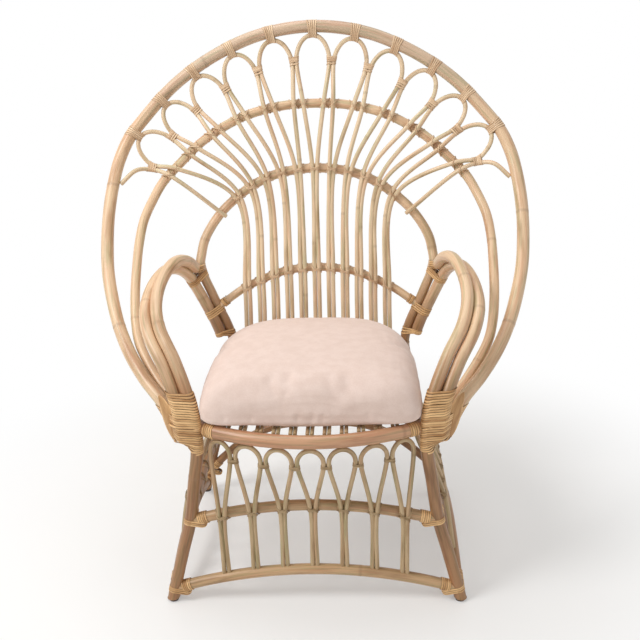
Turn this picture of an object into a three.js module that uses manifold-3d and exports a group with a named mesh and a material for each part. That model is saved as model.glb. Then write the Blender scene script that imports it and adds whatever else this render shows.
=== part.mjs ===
// A peacock chair of steam-bent rattan: two great hoops rise from the front corners of the seat,
// a back frame runs down into the rear legs, looped canes fan out from the seat to the outer hoop,
// looped aprons hang under the seat rails, and a loose cushion lies on canes laid across the seat.
import * as THREE from "three";
import { ConvexGeometry } from "three/addons/geometries/ConvexGeometry.js";
import { mergeVertices } from "three/addons/utils/BufferGeometryUtils.js";
import Module from "manifold-3d";

const wasm = await Module();
wasm.setup();

// Lengths are in millimetres. x runs across the chair, y from the front legs to the back, z up from the floor.
const touchGap = 0.3;
const crossGap = 0.5;

// Radii of the canes
const outerHoopRadius = 15;
const middleHoopRadius = 11.5;
const frameRadius = 12;
const armRadius = 14;
const lumbarRadius = 10.5;
const frontRailRadius = 15;
const seatRailRadius = 12;
const stretcherRadius = 12.5;
const rearArchRadius = 11;
const fanRadius = 5.5;
const apronRadius = 5.2;
const seatCaneRadius = 4.5;
const bearerRadius = 8;

// Split cane that binds the joints: how far it stands off the canes, and how wide each binding is
const heavyBinding = 4;
const lightBinding = 4;
const bandWidth = 26;
const armBandWidth = 34;
const crownBandWidth = 20;
const lashingWidth = 16;
const cornerBandBelow = 50;
const cornerBandAbove = 34;
const armPolesBandAbove = 88;

// Seat frame
const railHeight = 434;
const frontCornerHalf = 252;
const seatTaper = 27;
const frameDepth = 478;
const frontRailBow = 70;
const frontRailSetback = 12;
const sideRailInset = 18;

// Legs
const glideHeight = 6;
const glideRadius = 11;
const frontFootHalf = 332;
const frontFootForward = 10;
const rearFootHalf = 326;

// Back frame above the seat
const bendHalf = 298;
const bendAboveRail = 224;
const backFrameTopAboveRail = 456;
const backFrameLean = 82;
const bendHeight = railHeight + bendAboveRail;
const backFrameTop = railHeight + backFrameTopAboveRail;

// Lumbar rail across the back frame
const lumbarEndAboveRail = 113;
const lumbarRise = 98;
const lumbarBow = 22;
const lumbarEndHeight = railHeight + lumbarEndAboveRail;

// Middle hoop
const middleHoopInset = 74;
const middleHoopWidestAboveRail = 276;
const middleHoopWidestBack = 343;
const middleHoopTopAboveRail = 614.5;
const middleHoopBack = 587;
const middleHoopWidestHeight = railHeight + middleHoopWidestAboveRail;
const middleHoopTop = railHeight + middleHoopTopAboveRail;

// Outer hoop
const outerHoopHalf = 502;
const outerHoopWidestAboveRail = 371;
const outerHoopWidestBack = 401;
const outerHoopTopAboveRail = 798;
const outerHoopBack = 618;
const hoopTailDrop = 22;
const outerHoopWidestHeight = railHeight + outerHoopWidestAboveRail;
const outerHoopTop = railHeight + outerHoopTopAboveRail;

// Arms
const armInset = 78;
const armTopAboveRail = 286;
const lowerArmBandAboveRail = 52;
const armBandShare = 0.985;
const armTop = railHeight + armTopAboveRail;
const lowerArmBandHeight = railHeight + lowerArmBandAboveRail;

// Stretchers
const frontMiddleHeight = 207;
const frontMiddleRise = 40;
const bottomHeight = 30;
const bottomRise = 52;
const sideMiddleRearHeight = 160;
const sideMiddleRise = 30;
const rearArchFootHeight = 64;
const rearArchRise = 148;

// Fan of looped canes
const fanLoops = 11;
const crownPitchShare = 0.0394;
const lashingDepth = 80;
const middlePitchShare = 0.0326;
const middleSplit = 12;
const innerPitch = 43;
const seatSideRoom = 43;
const endLashingShare = 0.18;
const halfCaneReach = 58;
const halfCaneLift = 14;
const halfCaneInner = 275;
const caneTail = 14;

// Looped aprons
const frontApronLoops = 7;
const frontApronPitch = 68;
const sideApronLoops = 6;
const sideApronStart = 58;
const sideApronMerge = 0.9;
const apronLashingDrop = 32;
const tieDrop = 10;

// Seat canes and the poles that bear them
const bearerShare = 0.5;
const bearerOverlap = 0.8;

// Cushion: how far it stays inside the corners and in front of the fan
const cushionSideGap = 2;
const cushionBackGap = 2.7;
const cushionWidestBack = 100;
const cushionFront = -40;
const cushionThickness = 112;

// Facets round the canes, and how many stretches each bent cane is made of
const poleSides = 7;
const caneSides = 5;
const webSides = 4;
const bandSides = 6;
const tieSides = 4;
const thinPoleSides = 6;
const fanArchPieces = 7;
const apronArchPieces = 6;
const sideApronArchPieces = 5;
const cushionSides = 25;
const glideSides = 12;
const backFrameSteps = 41;
const armPoleSteps = 26;
const outerArmSteps = 22;
const middleHoopSteps = 39;
const outerHoopSteps = 42;
const frontRailSteps = 12;
const stretcherSteps = 9;
const archSteps = 14;

// Colours of the canes, the bindings and the cloth
const caneFinish = { color: 0xd9b48a, roughness: 0.48, metalness: 0 };
const paleCaneFinish = { color: 0xd8c096, roughness: 0.5, metalness: 0 };
const legFinish = { color: 0xb98a60, roughness: 0.5, metalness: 0 };
const railFinish = { color: 0xc98f6b, roughness: 0.45, metalness: 0 };
const bindingFinish = { color: 0xe0bd86, roughness: 0.55, metalness: 0 };
const clothFinish = { color: 0xe6d0c4, roughness: 0.92, metalness: 0 };
const glideFinish = { color: 0x3a3634, roughness: 0.6, metalness: 0 };

const point = (x, y, z) => new THREE.Vector3(x, y, z);
const mirrored = (p) => point(-p.x, p.y, p.z);
const mix = (a, b, share) => a + (b - a) * share;
const midpoint = (p, q, share) => p.clone().lerp(q, share);

// A cane's line. Its rings are spread by its points, so a tight bend that has more points has more rings.
class CaneLine extends THREE.CatmullRomCurve3 {
  getUtoTmapping(u) {
    return u;
  }
}

// Points from shares of a span: across from inner to outer, back from front to rear, up from low to high
function spread({ inner, outer, front, rear, low, high }, shares) {
  return shares.map(([across, back, up]) =>
    point(mix(inner, outer, across), mix(front, rear, back), mix(low, high, up)),
  );
}

// A line through the left half of its points and the same points mirrored, given from an end to its middle
function bothHalves(rightHalf) {
  const fromMiddle = [...rightHalf].reverse().slice(1);
  return new CaneLine([...rightHalf.map(mirrored), ...fromMiddle]);
}

// The share of a line at which one coordinate has a value, where that coordinate only grows or only falls
function shareAt(line, axis, value, low = 0, high = 1) {
  const grows = line.getPoint(high)[axis] > line.getPoint(low)[axis];
  let [a, b] = [low, high];
  for (let halving = 0; halving < 30; halving++) {
    const middle = (a + b) / 2;
    if (line.getPoint(middle)[axis] < value === grows) a = middle;
    else b = middle;
  }
  return a;
}

// Places on a symmetric line by the distance from its middle, which is positive to the right
class Ruler {
  constructor(line, marks = 600) {
    this.line = line;
    this.lengths = [0];
    for (let mark = 1; mark <= marks; mark++) {
      const step = line.getPoint(mark / marks).distanceTo(line.getPoint((mark - 1) / marks));
      this.lengths.push(this.lengths[mark - 1] + step);
    }
  }
  get length() {
    return this.lengths.at(-1);
  }
  share(distance) {
    const last = this.lengths.length - 1;
    const wanted = this.length / 2 + distance;
    const found = this.lengths.findIndex((length) => length > wanted);
    const mark = found < 0 ? last : Math.max(found, 1);
    const step = this.lengths[mark] - this.lengths[mark - 1];
    return (mark - 1 + (wanted - this.lengths[mark - 1]) / step) / last;
  }
  point(distance) {
    return this.line.getPoint(this.share(distance));
  }
}

// A closed geometry as a solid that can be cut and joined
function solidOf(geometry) {
  geometry.deleteAttribute("normal");
  geometry.deleteAttribute("uv");
  const merged = mergeVertices(geometry, 1e-4);
  const mesh = new wasm.Mesh({
    numProp: 3,
    vertProperties: merged.attributes.position.array,
    triVerts: new Uint32Array(merged.index.array),
  });
  return new wasm.Manifold(mesh);
}

const without = (solid, ...others) => others.reduce((left, other) => left.subtract(other), solid);
const joined = (first, ...others) => others.reduce((whole, other) => whole.add(other), first);

// A round cane along a line, and the same cane grown by the gap, which cuts whatever fits against it
class Cane {
  constructor(line, radius, sides, steps) {
    Object.assign(this, { line, radius, sides, steps });
    this.solid = this.tube(radius);
    this.grown = this.tube(radius + touchGap);
  }
  tube(radius) {
    const corners = Array.from({ length: this.sides }, (_, i) => {
      const angle = (2 * Math.PI * i) / this.sides;
      return new THREE.Vector2(Math.cos(angle), Math.sin(angle)).multiplyScalar(radius);
    });
    const options = { steps: this.steps, extrudePath: this.line };
    return solidOf(new THREE.ExtrudeGeometry(new THREE.Shape(corners), options));
  }
  // Points of a ring round the line, standing off its surface
  ring(share, standOff, count) {
    const along = this.line.getTangent(share);
    const upright = Math.abs(along.z) > Math.abs(along.x) + Math.abs(along.y);
    const side = (upright ? point(0, 1, 0) : point(0, 0, 1)).cross(along).normalize();
    const other = along.clone().cross(side);
    return Array.from({ length: count }, (_, i) => {
      const angle = (2 * Math.PI * (i + 0.5)) / count;
      const centre = this.line.getPoint(share);
      centre.addScaledVector(side, (this.radius + standOff) * Math.cos(angle));
      return centre.addScaledVector(other, (this.radius + standOff) * Math.sin(angle));
    });
  }
  // The shares at which a stretch of a given length round one share begins and ends
  stretch(share, length) {
    const [before, after] = [Math.max(share - 0.01, 0), Math.min(share + 0.01, 1)];
    const speed = this.line.getPoint(before).distanceTo(this.line.getPoint(after)) / (after - before);
    const half = length / 2 / speed;
    return { cane: this, from: Math.max(share - half, 0), to: Math.min(share + half, 1) };
  }
}

// A binding's outer form: the hull of rings round each stretch of cane that it ties
function bindingForm(stretches, standOff, count) {
  const rings = stretches.flatMap(({ cane, from, to }) => [
    ...cane.ring(from, standOff, count),
    ...cane.ring(to, standOff, count),
  ]);
  return solidOf(new ConvexGeometry(rings));
}

const root = new THREE.Group();

// Adds a solid to the chair as a named mesh
function put(name, solid, finish) {
  const { vertProperties, triVerts } = solid.getMesh();
  const geometry = new THREE.BufferGeometry();
  geometry.setAttribute("position", new THREE.BufferAttribute(new Float32Array(vertProperties), 3));
  geometry.setIndex(new THREE.BufferAttribute(new Uint32Array(triVerts), 1));
  geometry.computeVertexNormals();
  const mesh = new THREE.Mesh(geometry, new THREE.MeshStandardMaterial(finish));
  mesh.name = name;
  root.add(mesh);
}

// Both sides of the chair: the name of each and the sign of its x
const sides = [
  { side: "left", sign: -1 },
  { side: "right", sign: 1 },
];
const onSide = (sign, points) => points.map((p) => (sign < 0 ? mirrored(p) : p));

// The middle hoop and the arms keep inside the outer hoop
const middleHoopHalf = outerHoopHalf - middleHoopInset;
const armHalf = middleHoopHalf - armInset;

// The seat narrows toward the back, and the fan's loops stand along its rear rail
const rearCornerHalf = frontCornerHalf - seatTaper;
const loopSpan = (fanLoops - 1) / 2;
const seatPitch = (rearCornerHalf - seatSideRoom) / loopSpan;

// Seat heights that follow from the front rail
const seatLevel = railHeight + frontRailRadius;
const seatRailHeight = seatLevel - seatRailRadius;

// Back frame: one bent pole from a rear foot up past the seat, over the back and down to the other foot
const rearLegShares = [
  [1.03, 0, -0.03],
  [0.93, 0, 0.08],
  [0.72, 0, 0.28],
  [0.36, 0, 0.58],
  [0.1, 0, 0.84],
];
const backPostShares = [
  [0, 0, 0],
  [0.04, 0, 0.14],
  [0.2, 0, 0.31],
  [0.45, 0, 0.5],
  [0.69, 0, 0.7],
  [0.9, 0, 0.88],
];
const backHoopShares = [
  [1, 0.04, 0.02],
  [0.99, 0.2, 0.13],
  [0.965, 0.38, 0.26],
  [0.905, 0.56, 0.4],
  [0.82, 0.7, 0.54],
  [0.72, 0.8, 0.66],
  [0.56, 0.9, 0.81],
  [0.385, 0.96, 0.92],
  [0.2, 0.99, 0.98],
  [0, 1, 1],
];
const backFrameHalf = [
  ...spread(
    {
      inner: rearCornerHalf,
      outer: rearFootHalf,
      front: frameDepth,
      rear: frameDepth,
      low: glideHeight,
      high: railHeight,
    },
    rearLegShares,
  ),
  ...spread(
    {
      inner: rearCornerHalf,
      outer: bendHalf,
      front: frameDepth,
      rear: frameDepth,
      low: railHeight,
      high: bendHeight,
    },
    backPostShares,
  ),
  ...spread(
    {
      inner: 0,
      outer: bendHalf,
      front: frameDepth,
      rear: frameDepth + backFrameLean,
      low: bendHeight,
      high: backFrameTop,
    },
    backHoopShares,
  ),
];
const backFrame = new Cane(bothHalves(backFrameHalf), frameRadius, poleSides, backFrameSteps);
const backFrameRuler = new Ruler(backFrame.line);
const postEndShare = backPostShares.length + rearLegShares.length;
const postShare = (height) =>
  shareAt(backFrame.line, "z", height, 0, postEndShare / (2 * backFrameHalf.length - 2));
const postPoint = (height) => mirrored(backFrame.line.getPoint(postShare(height)));

// Front poles: each runs from a front foot up through the seat's corner and over to the back as the inner arm
const frontLegShares = [
  [1.03, 1, -0.03],
  [0.94, 0.8, 0.05],
  [0.62, 0.3, 0.28],
  [0.34, 0.1, 0.47],
  [0.14, 0, 0.71],
  [0, 0, 0.88],
  [0, 0, 1],
];
const innerArmShares = [
  [0.1, 0.022, 0.225],
  [0.44, 0.12, 0.49],
  [0.82, 0.23, 0.685],
  [0.97, 0.33, 0.8],
  [1, 0.44, 0.89],
  [0.94, 0.55, 0.96],
  [0.83, 0.66, 1],
  [0.73, 0.77, 0.98],
  [0.63, 0.89, 0.91],
];
const armSpan = {
  inner: frontCornerHalf,
  outer: armHalf,
  front: 0,
  rear: frameDepth - frameRadius - armRadius,
  low: railHeight,
  high: armTop,
};
const innerArmPoints = spread(armSpan, innerArmShares);
const postSpacing = frameRadius + armRadius + touchGap;
const armEndShares = point(0.3, -0.95, 0.1);
const armEnd = postPoint(bendHeight).addScaledVector(armEndShares, postSpacing);
const frontPoleHalf = [
  ...spread(
    {
      inner: frontCornerHalf,
      outer: frontFootHalf,
      front: 0,
      rear: -frontFootForward,
      low: glideHeight,
      high: railHeight,
    },
    frontLegShares,
  ),
  ...innerArmPoints,
  armEnd,
];

// Outer arm poles: each lies beside the inner one, passes under its rear end and comes down by the back post
const besideArmShares = [
  [1, 0.1, 0],
  [0.97, 0.05, -0.2],
  [0.95, 0, -0.3],
  [0.93, 0.05, -0.38],
  [0.86, 0.15, -0.5],
  [0.8, 0.3, -0.55],
  [0.72, 0.3, -0.65],
  [0.66, 0.2, -0.74],
  [0.62, 0.1, -0.8],
];
const besidePostShares = [
  [0.92, 1.07, -1.25],
  [0.74, 0.98, -0.74],
  [0.56, 0.92, -0.57],
  [0.36, 0.9, -0.57],
  [0.17, 0.88, -0.57],
];
const armSpacing = 2 * armRadius + touchGap;
const cornerBase = point(frontCornerHalf, 0, railHeight - hoopTailDrop);
const frontPoleLine = new CaneLine(frontPoleHalf);
function besideArm(i) {
  const share = (frontLegShares.length + i) / (frontPoleHalf.length - 1);
  const along = frontPoleLine.getTangent(share);
  const away = point(...besideArmShares[i]).projectOnPlane(along);
  return innerArmPoints[i].clone().addScaledVector(away.normalize(), armSpacing);
}
const outerArmHalf = [
  cornerBase.clone().add(point(armSpacing, 0, 0)),
  ...innerArmPoints.map((p, i) => besideArm(i)),
  ...besidePostShares.map(([up, across, back]) =>
    postPoint(mix(railHeight, bendHeight, up)).addScaledVector(point(across, back, 0), postSpacing),
  ),
];

// Middle hoop: from behind the arm poles at each corner, out and back, then over
const middleHoopFlareShares = [
  [0, 0, 0],
  [0.179, 0.131, 0.137],
  [0.489, 0.274, 0.285],
  [0.825, 0.497, 0.492],
  [0.922, 0.629, 0.606],
  [0.98, 0.795, 0.777],
  [1, 1, 1],
];
const middleHoopCrownShares = [
  [0.998, 0.172, 0.124],
  [0.981, 0.332, 0.254],
  [0.935, 0.48, 0.384],
  [0.878, 0.594, 0.499],
  [0.78, 0.705, 0.62],
  [0.67, 0.811, 0.744],
  [0.551, 0.889, 0.839],
  [0.416, 0.947, 0.919],
  [0.285, 0.98, 0.965],
  [0.145, 0.996, 0.993],
  [0, 1, 1],
];
const middleHoopStart = cornerBase
  .clone()
  .add(point(armRadius, armRadius + middleHoopRadius + touchGap, 0));
const middleHoopHalfPoints = [
  ...spread(
    {
      inner: middleHoopStart.x,
      outer: middleHoopHalf,
      front: middleHoopStart.y,
      rear: middleHoopWidestBack,
      low: middleHoopStart.z,
      high: middleHoopWidestHeight,
    },
    middleHoopFlareShares,
  ),
  ...spread(
    {
      inner: 0,
      outer: middleHoopHalf,
      front: middleHoopWidestBack,
      rear: middleHoopBack,
      low: middleHoopWidestHeight,
      high: middleHoopTop,
    },
    middleHoopCrownShares,
  ),
];
const middleHoop = new Cane(bothHalves(middleHoopHalfPoints), middleHoopRadius, thinPoleSides, middleHoopSteps);
const middleRuler = new Ruler(middleHoop.line);

// Outer hoop: from outside the middle hoop at each corner, out and back, then over
const outerHoopFlareShares = [
  [0, 0, 0],
  [0.195, 0.084, 0.158],
  [0.4, 0.197, 0.247],
  [0.582, 0.319, 0.344],
  [0.745, 0.465, 0.463],
  [0.865, 0.614, 0.598],
  [0.952, 0.76, 0.74],
  [0.993, 0.908, 0.893],
  [1, 1, 1],
];
const outerHoopCrownShares = [
  [0.996, 0.147, 0.096],
  [0.984, 0.29, 0.197],
  [0.962, 0.424, 0.3],
  [0.916, 0.553, 0.415],
  [0.841, 0.664, 0.522],
  [0.697, 0.816, 0.691],
  [0.528, 0.908, 0.827],
  [0.325, 0.972, 0.937],
  [0.163, 0.995, 0.984],
  [0, 1, 1],
];
const outerHoopStart = middleHoopStart
  .clone()
  .add(point(middleHoopRadius + outerHoopRadius + touchGap, outerHoopRadius / 2, 0));
const outerHoopHalfPoints = [
  ...spread(
    {
      inner: outerHoopStart.x,
      outer: outerHoopHalf,
      front: outerHoopStart.y,
      rear: outerHoopWidestBack,
      low: outerHoopStart.z,
      high: outerHoopWidestHeight,
    },
    outerHoopFlareShares,
  ),
  ...spread(
    {
      inner: 0,
      outer: outerHoopHalf,
      front: outerHoopWidestBack,
      rear: outerHoopBack,
      low: outerHoopWidestHeight,
      high: outerHoopTop,
    },
    outerHoopCrownShares,
  ),
];
const outerHoop = new Cane(bothHalves(outerHoopHalfPoints), outerHoopRadius, poleSides, outerHoopSteps);
const outerRuler = new Ruler(outerHoop.line);

// The arm poles of both sides
const frontPoles = {};
const outerArms = {};
for (const { side, sign } of sides) {
  const inner = new CaneLine(onSide(sign, frontPoleHalf));
  const outer = new CaneLine(onSide(sign, outerArmHalf));
  frontPoles[side] = new Cane(inner, armRadius, poleSides, armPoleSteps);
  outerArms[side] = new Cane(outer, armRadius, poleSides, outerArmSteps);
}
const legShareCount = frontLegShares.length / (frontPoleHalf.length - 1);
const legShare = (side, height) => shareAt(frontPoles[side].line, "z", height, 0, legShareCount);
const legPoint = (side, height) => frontPoles[side].line.getPoint(legShare(side, height));

// Everything above stands on trimmed feet
const trimSize = 4 * frontFootHalf;
const trimBox = solidOf(
  new THREE.BoxGeometry(trimSize, trimSize, trimSize).translate(0, 0, glideHeight - trimSize / 2),
);

// Straight and arched canes between two points: the arch is a parabola with a given rise and bow
function archLine(start, end, rise, bow = 0) {
  const control = midpoint(start, end, 0.5).add(point(0, 2 * bow, 2 * rise));
  return new THREE.QuadraticBezierCurve3(start, control, end);
}

// Front rail, bowed forward between the front poles
const railReach = frontCornerHalf - armRadius / 2;
const frontRail = new Cane(
  archLine(
    point(-railReach, frontRailSetback, railHeight),
    point(railReach, frontRailSetback, railHeight),
    0,
    -frontRailBow,
  ),
  frontRailRadius,
  poleSides,
  frontRailSteps,
);

// Side rails from the front rail back to the back posts, and the rear rail between the posts
const sideRails = {};
for (const { side, sign } of sides) {
  const front = point(sign * (frontCornerHalf - sideRailInset), frontRailSetback, seatRailHeight);
  const rear = point(sign * rearCornerHalf, frameDepth, seatRailHeight);
  sideRails[side] = new Cane(new THREE.LineCurve3(front, rear), seatRailRadius, poleSides, 1);
}
const rearRail = new Cane(
  new THREE.LineCurve3(
    point(-rearCornerHalf, frameDepth, seatRailHeight),
    point(rearCornerHalf, frameDepth, seatRailHeight),
  ),
  seatRailRadius,
  poleSides,
  1,
);

// Stretchers
const between = (start, end, rise, radius) =>
  new Cane(archLine(start, end, rise), radius, thinPoleSides, stretcherSteps);
const rearLegPoint = (sign, height) => {
  const p = postPoint(height);
  return sign < 0 ? mirrored(p) : p;
};
const frontMiddle = between(
  legPoint("left", frontMiddleHeight),
  legPoint("right", frontMiddleHeight),
  frontMiddleRise,
  stretcherRadius,
);
const frontBottom = between(
  legPoint("left", bottomHeight),
  legPoint("right", bottomHeight),
  bottomRise,
  stretcherRadius,
);
const sideMiddles = {};
const sideBottoms = {};
for (const { side, sign } of sides) {
  sideMiddles[side] = between(
    legPoint(side, frontMiddleHeight),
    rearLegPoint(sign, sideMiddleRearHeight),
    sideMiddleRise,
    stretcherRadius,
  );
  sideBottoms[side] = between(
    legPoint(side, bottomHeight),
    rearLegPoint(sign, bottomHeight),
    bottomRise,
    stretcherRadius,
  );
}

// Rear arch between the rear legs
const rearArchShares = [
  [1, 0, 0],
  [0.86, 0, 0.3],
  [0.68, 0, 0.62],
  [0.42, 0, 0.9],
  [0.2, 0, 0.985],
  [0, 0, 1],
];
const rearArchHalf = spread(
  {
    inner: 0,
    outer: postPoint(rearArchFootHeight).x,
    front: frameDepth,
    rear: frameDepth,
    low: rearArchFootHeight,
    high: rearArchFootHeight + rearArchRise,
  },
  rearArchShares,
);
const rearArch = new Cane(bothHalves(rearArchHalf), rearArchRadius, thinPoleSides, archSteps);

// Bands of split cane round the legs where the stretchers meet them
const rearShare = (sign, height) => (sign < 0 ? postShare(height) : 1 - postShare(height));
const bands = [];
function band(cane, share) {
  const form = (standOff) => bindingForm([cane.stretch(share, bandWidth)], standOff, bandSides);
  const made = {
    solid: without(form(heavyBinding), cane.grown, trimBox),
    grown: form(heavyBinding + touchGap),
  };
  bands.push(made);
  return made;
}
const jointBands = {};
for (const { side, sign } of sides) {
  jointBands[side] = {
    frontMiddle: band(frontPoles[side], legShare(side, frontMiddleHeight)),
    frontBottom: band(frontPoles[side], legShare(side, bottomHeight)),
    sideMiddle: band(backFrame, rearShare(sign, sideMiddleRearHeight)),
  };
}

// A stretcher butts against both its poles, with the bands that are its own joined to it
const poles = [frontPoles.left, frontPoles.right, backFrame];
function fitted(cane, ...own) {
  const others = bands.filter((made) => !own.includes(made)).map((made) => made.grown);
  const trimmed = without(cane.solid, ...poles.map((pole) => pole.grown), ...others);
  return joined(trimmed, ...own.map((made) => made.solid));
}

// Lumbar rail: an arch between the back posts, bowed to the rear
const lumbarEnd = postPoint(lumbarEndHeight);
const lumbarShares = [
  [1, 0, 0],
  [0.94, 0.1, 0.12],
  [0.74, 0.5, 0.47],
  [0.55, 0.76, 0.7],
  [0.38, 0.9, 0.87],
  [0.2, 0.97, 0.965],
  [0, 1, 1],
];
const lumbarHalf = spread(
  {
    inner: 0,
    outer: lumbarEnd.x,
    front: frameDepth,
    rear: frameDepth + lumbarBow,
    low: lumbarEndHeight,
    high: lumbarEndHeight + lumbarRise,
  },
  lumbarShares,
);
const lumbarRail = new Cane(bothHalves(lumbarHalf), lumbarRadius, thinPoleSides, archSteps);

// A point on a cane's surface, for a thinner cane that crosses it in the direction given
const forward = point(0, -1, 0);
const upward = point(0, 0, 1);
function against(cane, share, direction, radius, outward = forward) {
  const away = cane.line.getTangent(share).cross(direction).normalize();
  if (away.dot(outward) < 0) away.negate();
  return cane.line.getPoint(share).addScaledVector(away, cane.radius + radius + crossGap);
}

// The fan's places are counted from the middle: the middle loop is 0, and the lashings lie at the halves
const pairHalf = fanRadius + touchGap;
const fanFront = frameDepth - seatRailRadius - fanRadius - touchGap;
const seatEnd = (place, shift, height) => point(place * seatPitch + shift, fanFront, height);
const lumbarCross = (place, shift) =>
  against(lumbarRail, shareAt(lumbarRail.line, "x", place * seatPitch + shift), upward, fanRadius);

// The loops are spread along each hoop, and the end lashings lie a little further round than the others
const crownPitch = outerRuler.length * crownPitchShare;
const middlePitch = middleRuler.length * middlePitchShare;
const roundHoop = (place) =>
  crownPitch * (place + (Math.abs(place) > loopSpan ? Math.sign(place) * endLashingShare : 0));
const hoopPoint = (place) => outerRuler.point(roundHoop(place));
const spoke = (place, distance) => hoopPoint(place).sub(backFrameRuler.point(distance));
const innerCross = (distance, place) =>
  against(backFrame, backFrameRuler.share(distance), spoke(place, distance), fanRadius);
const middleCross = (lashing, split) => {
  const share = middleRuler.share(lashing * middlePitch + split);
  return against(middleHoop, share, spoke(lashing, lashing * innerPitch), fanRadius);
};
const inward = (place) => middleRuler.point(place * middlePitch).sub(hoopPoint(place)).normalize();
function lashingPoint(lashing, shift) {
  const distance = roundHoop(lashing);
  const along = outerRuler.point(distance + crownBandWidth).sub(outerRuler.point(distance - crownBandWidth));
  const onHoop = hoopPoint(lashing).addScaledVector(inward(lashing), lashingDepth);
  return onHoop.add(along.setLength(shift));
}
const hoopStandOff = outerHoopRadius + fanRadius + touchGap;
const crownPoint = (place) => hoopPoint(place).addScaledVector(inward(place), hoopStandOff);

// A loop's round arch between its two lashings
function archPoints(left, right, crown, pieces) {
  const base = midpoint(left, right, 0.5);
  const half = right.clone().sub(base);
  const rise = crown.clone().sub(base);
  return Array.from({ length: pieces - 1 }, (_, i) => {
    const angle = (Math.PI * (i + 1)) / pieces;
    const onArch = base.clone().addScaledVector(half, -Math.cos(angle));
    return onArch.addScaledVector(rise, Math.sin(angle));
  });
}

// A looped cane through its left leg, its arch and its right leg, with a ring at each of its points
function loopedCane(left, right, crown, radius, corners, pieces) {
  const arch = archPoints(left.at(-1), right.at(-1), crown, pieces);
  const points = [...left, ...arch, ...[...right].reverse()];
  return new Cane(new CaneLine(points), radius, corners, points.length - 1);
}

// A loop of the fan: up from the seat, over the lumbar rail, the frame and the middle hoop to its crown
function fanLoop(place) {
  const [left, right] = [-1, 1].map((sign) => {
    const shift = sign * pairHalf;
    const lashing = place + sign / 2;
    return [
      seatEnd(place, shift, seatRailHeight - caneTail),
      seatEnd(place, shift, seatRailHeight),
      lumbarCross(place, shift),
      innerCross(place * innerPitch + shift, place),
      middleCross(lashing, -sign * middleSplit),
      lashingPoint(lashing, -sign * pairHalf),
    ];
  });
  return loopedCane(left, right, crownPoint(place), fanRadius, caneSides, fanArchPieces);
}

// A half cane closes each end of the fan: from the outer hoop past the last lashing to the frame
function halfCane(sign) {
  const lashing = sign * (loopSpan + 0.5);
  const leave = outerRuler
    .point(roundHoop(lashing) + sign * halfCaneReach)
    .addScaledVector(inward(lashing), hoopStandOff);
  const bound = lashingPoint(lashing, sign * pairHalf);
  const above = midpoint(leave, bound, 0.5).addScaledVector(upward, halfCaneLift);
  const onMiddle = middleCross(lashing, sign * middleSplit);
  const onFrame = innerCross(sign * halfCaneInner, lashing);
  const tail = onFrame.clone().sub(onMiddle).setLength(caneTail).add(onFrame);
  const points = [leave, above, bound, onMiddle, onFrame, tail];
  return new Cane(new CaneLine(points), fanRadius, caneSides, 2 * points.length - 2);
}
const fanCanes = [
  halfCane(-1),
  ...Array.from({ length: fanLoops }, (_, i) => fanLoop(i - loopSpan)),
  halfCane(1),
];

// The share of a cane that lies nearest a point
function nearestShare(cane, target) {
  const marks = 20 * cane.steps;
  let best = 0;
  for (let mark = 1; mark <= marks; mark++) {
    const nearer = cane.line.getPoint(mark / marks).distanceTo(target);
    if (nearer < cane.line.getPoint(best).distanceTo(target)) best = mark / marks;
  }
  return best;
}
const tieAt = (target, ...canes) =>
  bindingForm(
    canes.map((cane) => cane.stretch(nearestShare(cane, target), lashingWidth)),
    lightBinding,
    tieSides,
  );

// Each fan cane carries its own bindings: at its crown, and to the next cane at their lashing
const hoopsCutFromFan = [outerHoop.grown, middleHoop.grown, backFrame.grown, lumbarRail.grown];
fanCanes.forEach((cane, i) => {
  const next = fanCanes[i + 1];
  const isLoop = i > 0 && i <= fanLoops;
  const place = i - 1 - loopSpan;
  const parts = [cane.solid];
  if (isLoop) {
    const crown = [
      outerHoop.stretch(outerRuler.share(place * crownPitch), crownBandWidth),
      cane.stretch(0.5, crownBandWidth),
    ];
    parts.push(bindingForm(crown, lightBinding, bandSides));
  }
  if (next) {
    const below = inward(place + 0.5).multiplyScalar(tieDrop);
    const tie = tieAt(lashingPoint(place + 0.5, 0).add(below), cane, next);
    parts.push(without(tie, next.grown));
  }
  const name = isLoop ? "fan_loop_" + String(i).padStart(2, "0") : "fan_half_cane_" + (i ? "right" : "left");
  put(name, without(joined(...parts), ...hoopsCutFromFan), paleCaneFinish);
});

// Hoops and poles
put("outer_hoop", outerHoop.solid, caneFinish);
put("middle_hoop", without(middleHoop.solid, outerHoop.grown), caneFinish);
put("back_frame_and_rear_legs", without(backFrame.solid, trimBox), caneFinish);
put("lumbar_rail", without(lumbarRail.solid, backFrame.grown), caneFinish);
for (const { side } of sides) {
  const besidePoles = without(outerArms[side].solid, frontPoles[side].grown, backFrame.grown);
  put("front_leg_and_inner_arm_" + side, without(frontPoles[side].solid, trimBox), legFinish);
  put("outer_arm_" + side, without(besidePoles, middleHoop.grown, outerHoop.grown), caneFinish);
}

// Seat rails
put("front_seat_rail", without(frontRail.solid, frontPoles.left.grown, frontPoles.right.grown), railFinish);
put("rear_seat_rail", without(rearRail.solid, backFrame.grown), legFinish);
for (const { side } of sides) {
  const cutters = [frontRail.grown, rearRail.grown, backFrame.grown, middleHoop.grown];
  put("side_seat_rail_" + side, without(sideRails[side].solid, frontPoles[side].grown, ...cutters), legFinish);
}

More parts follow.
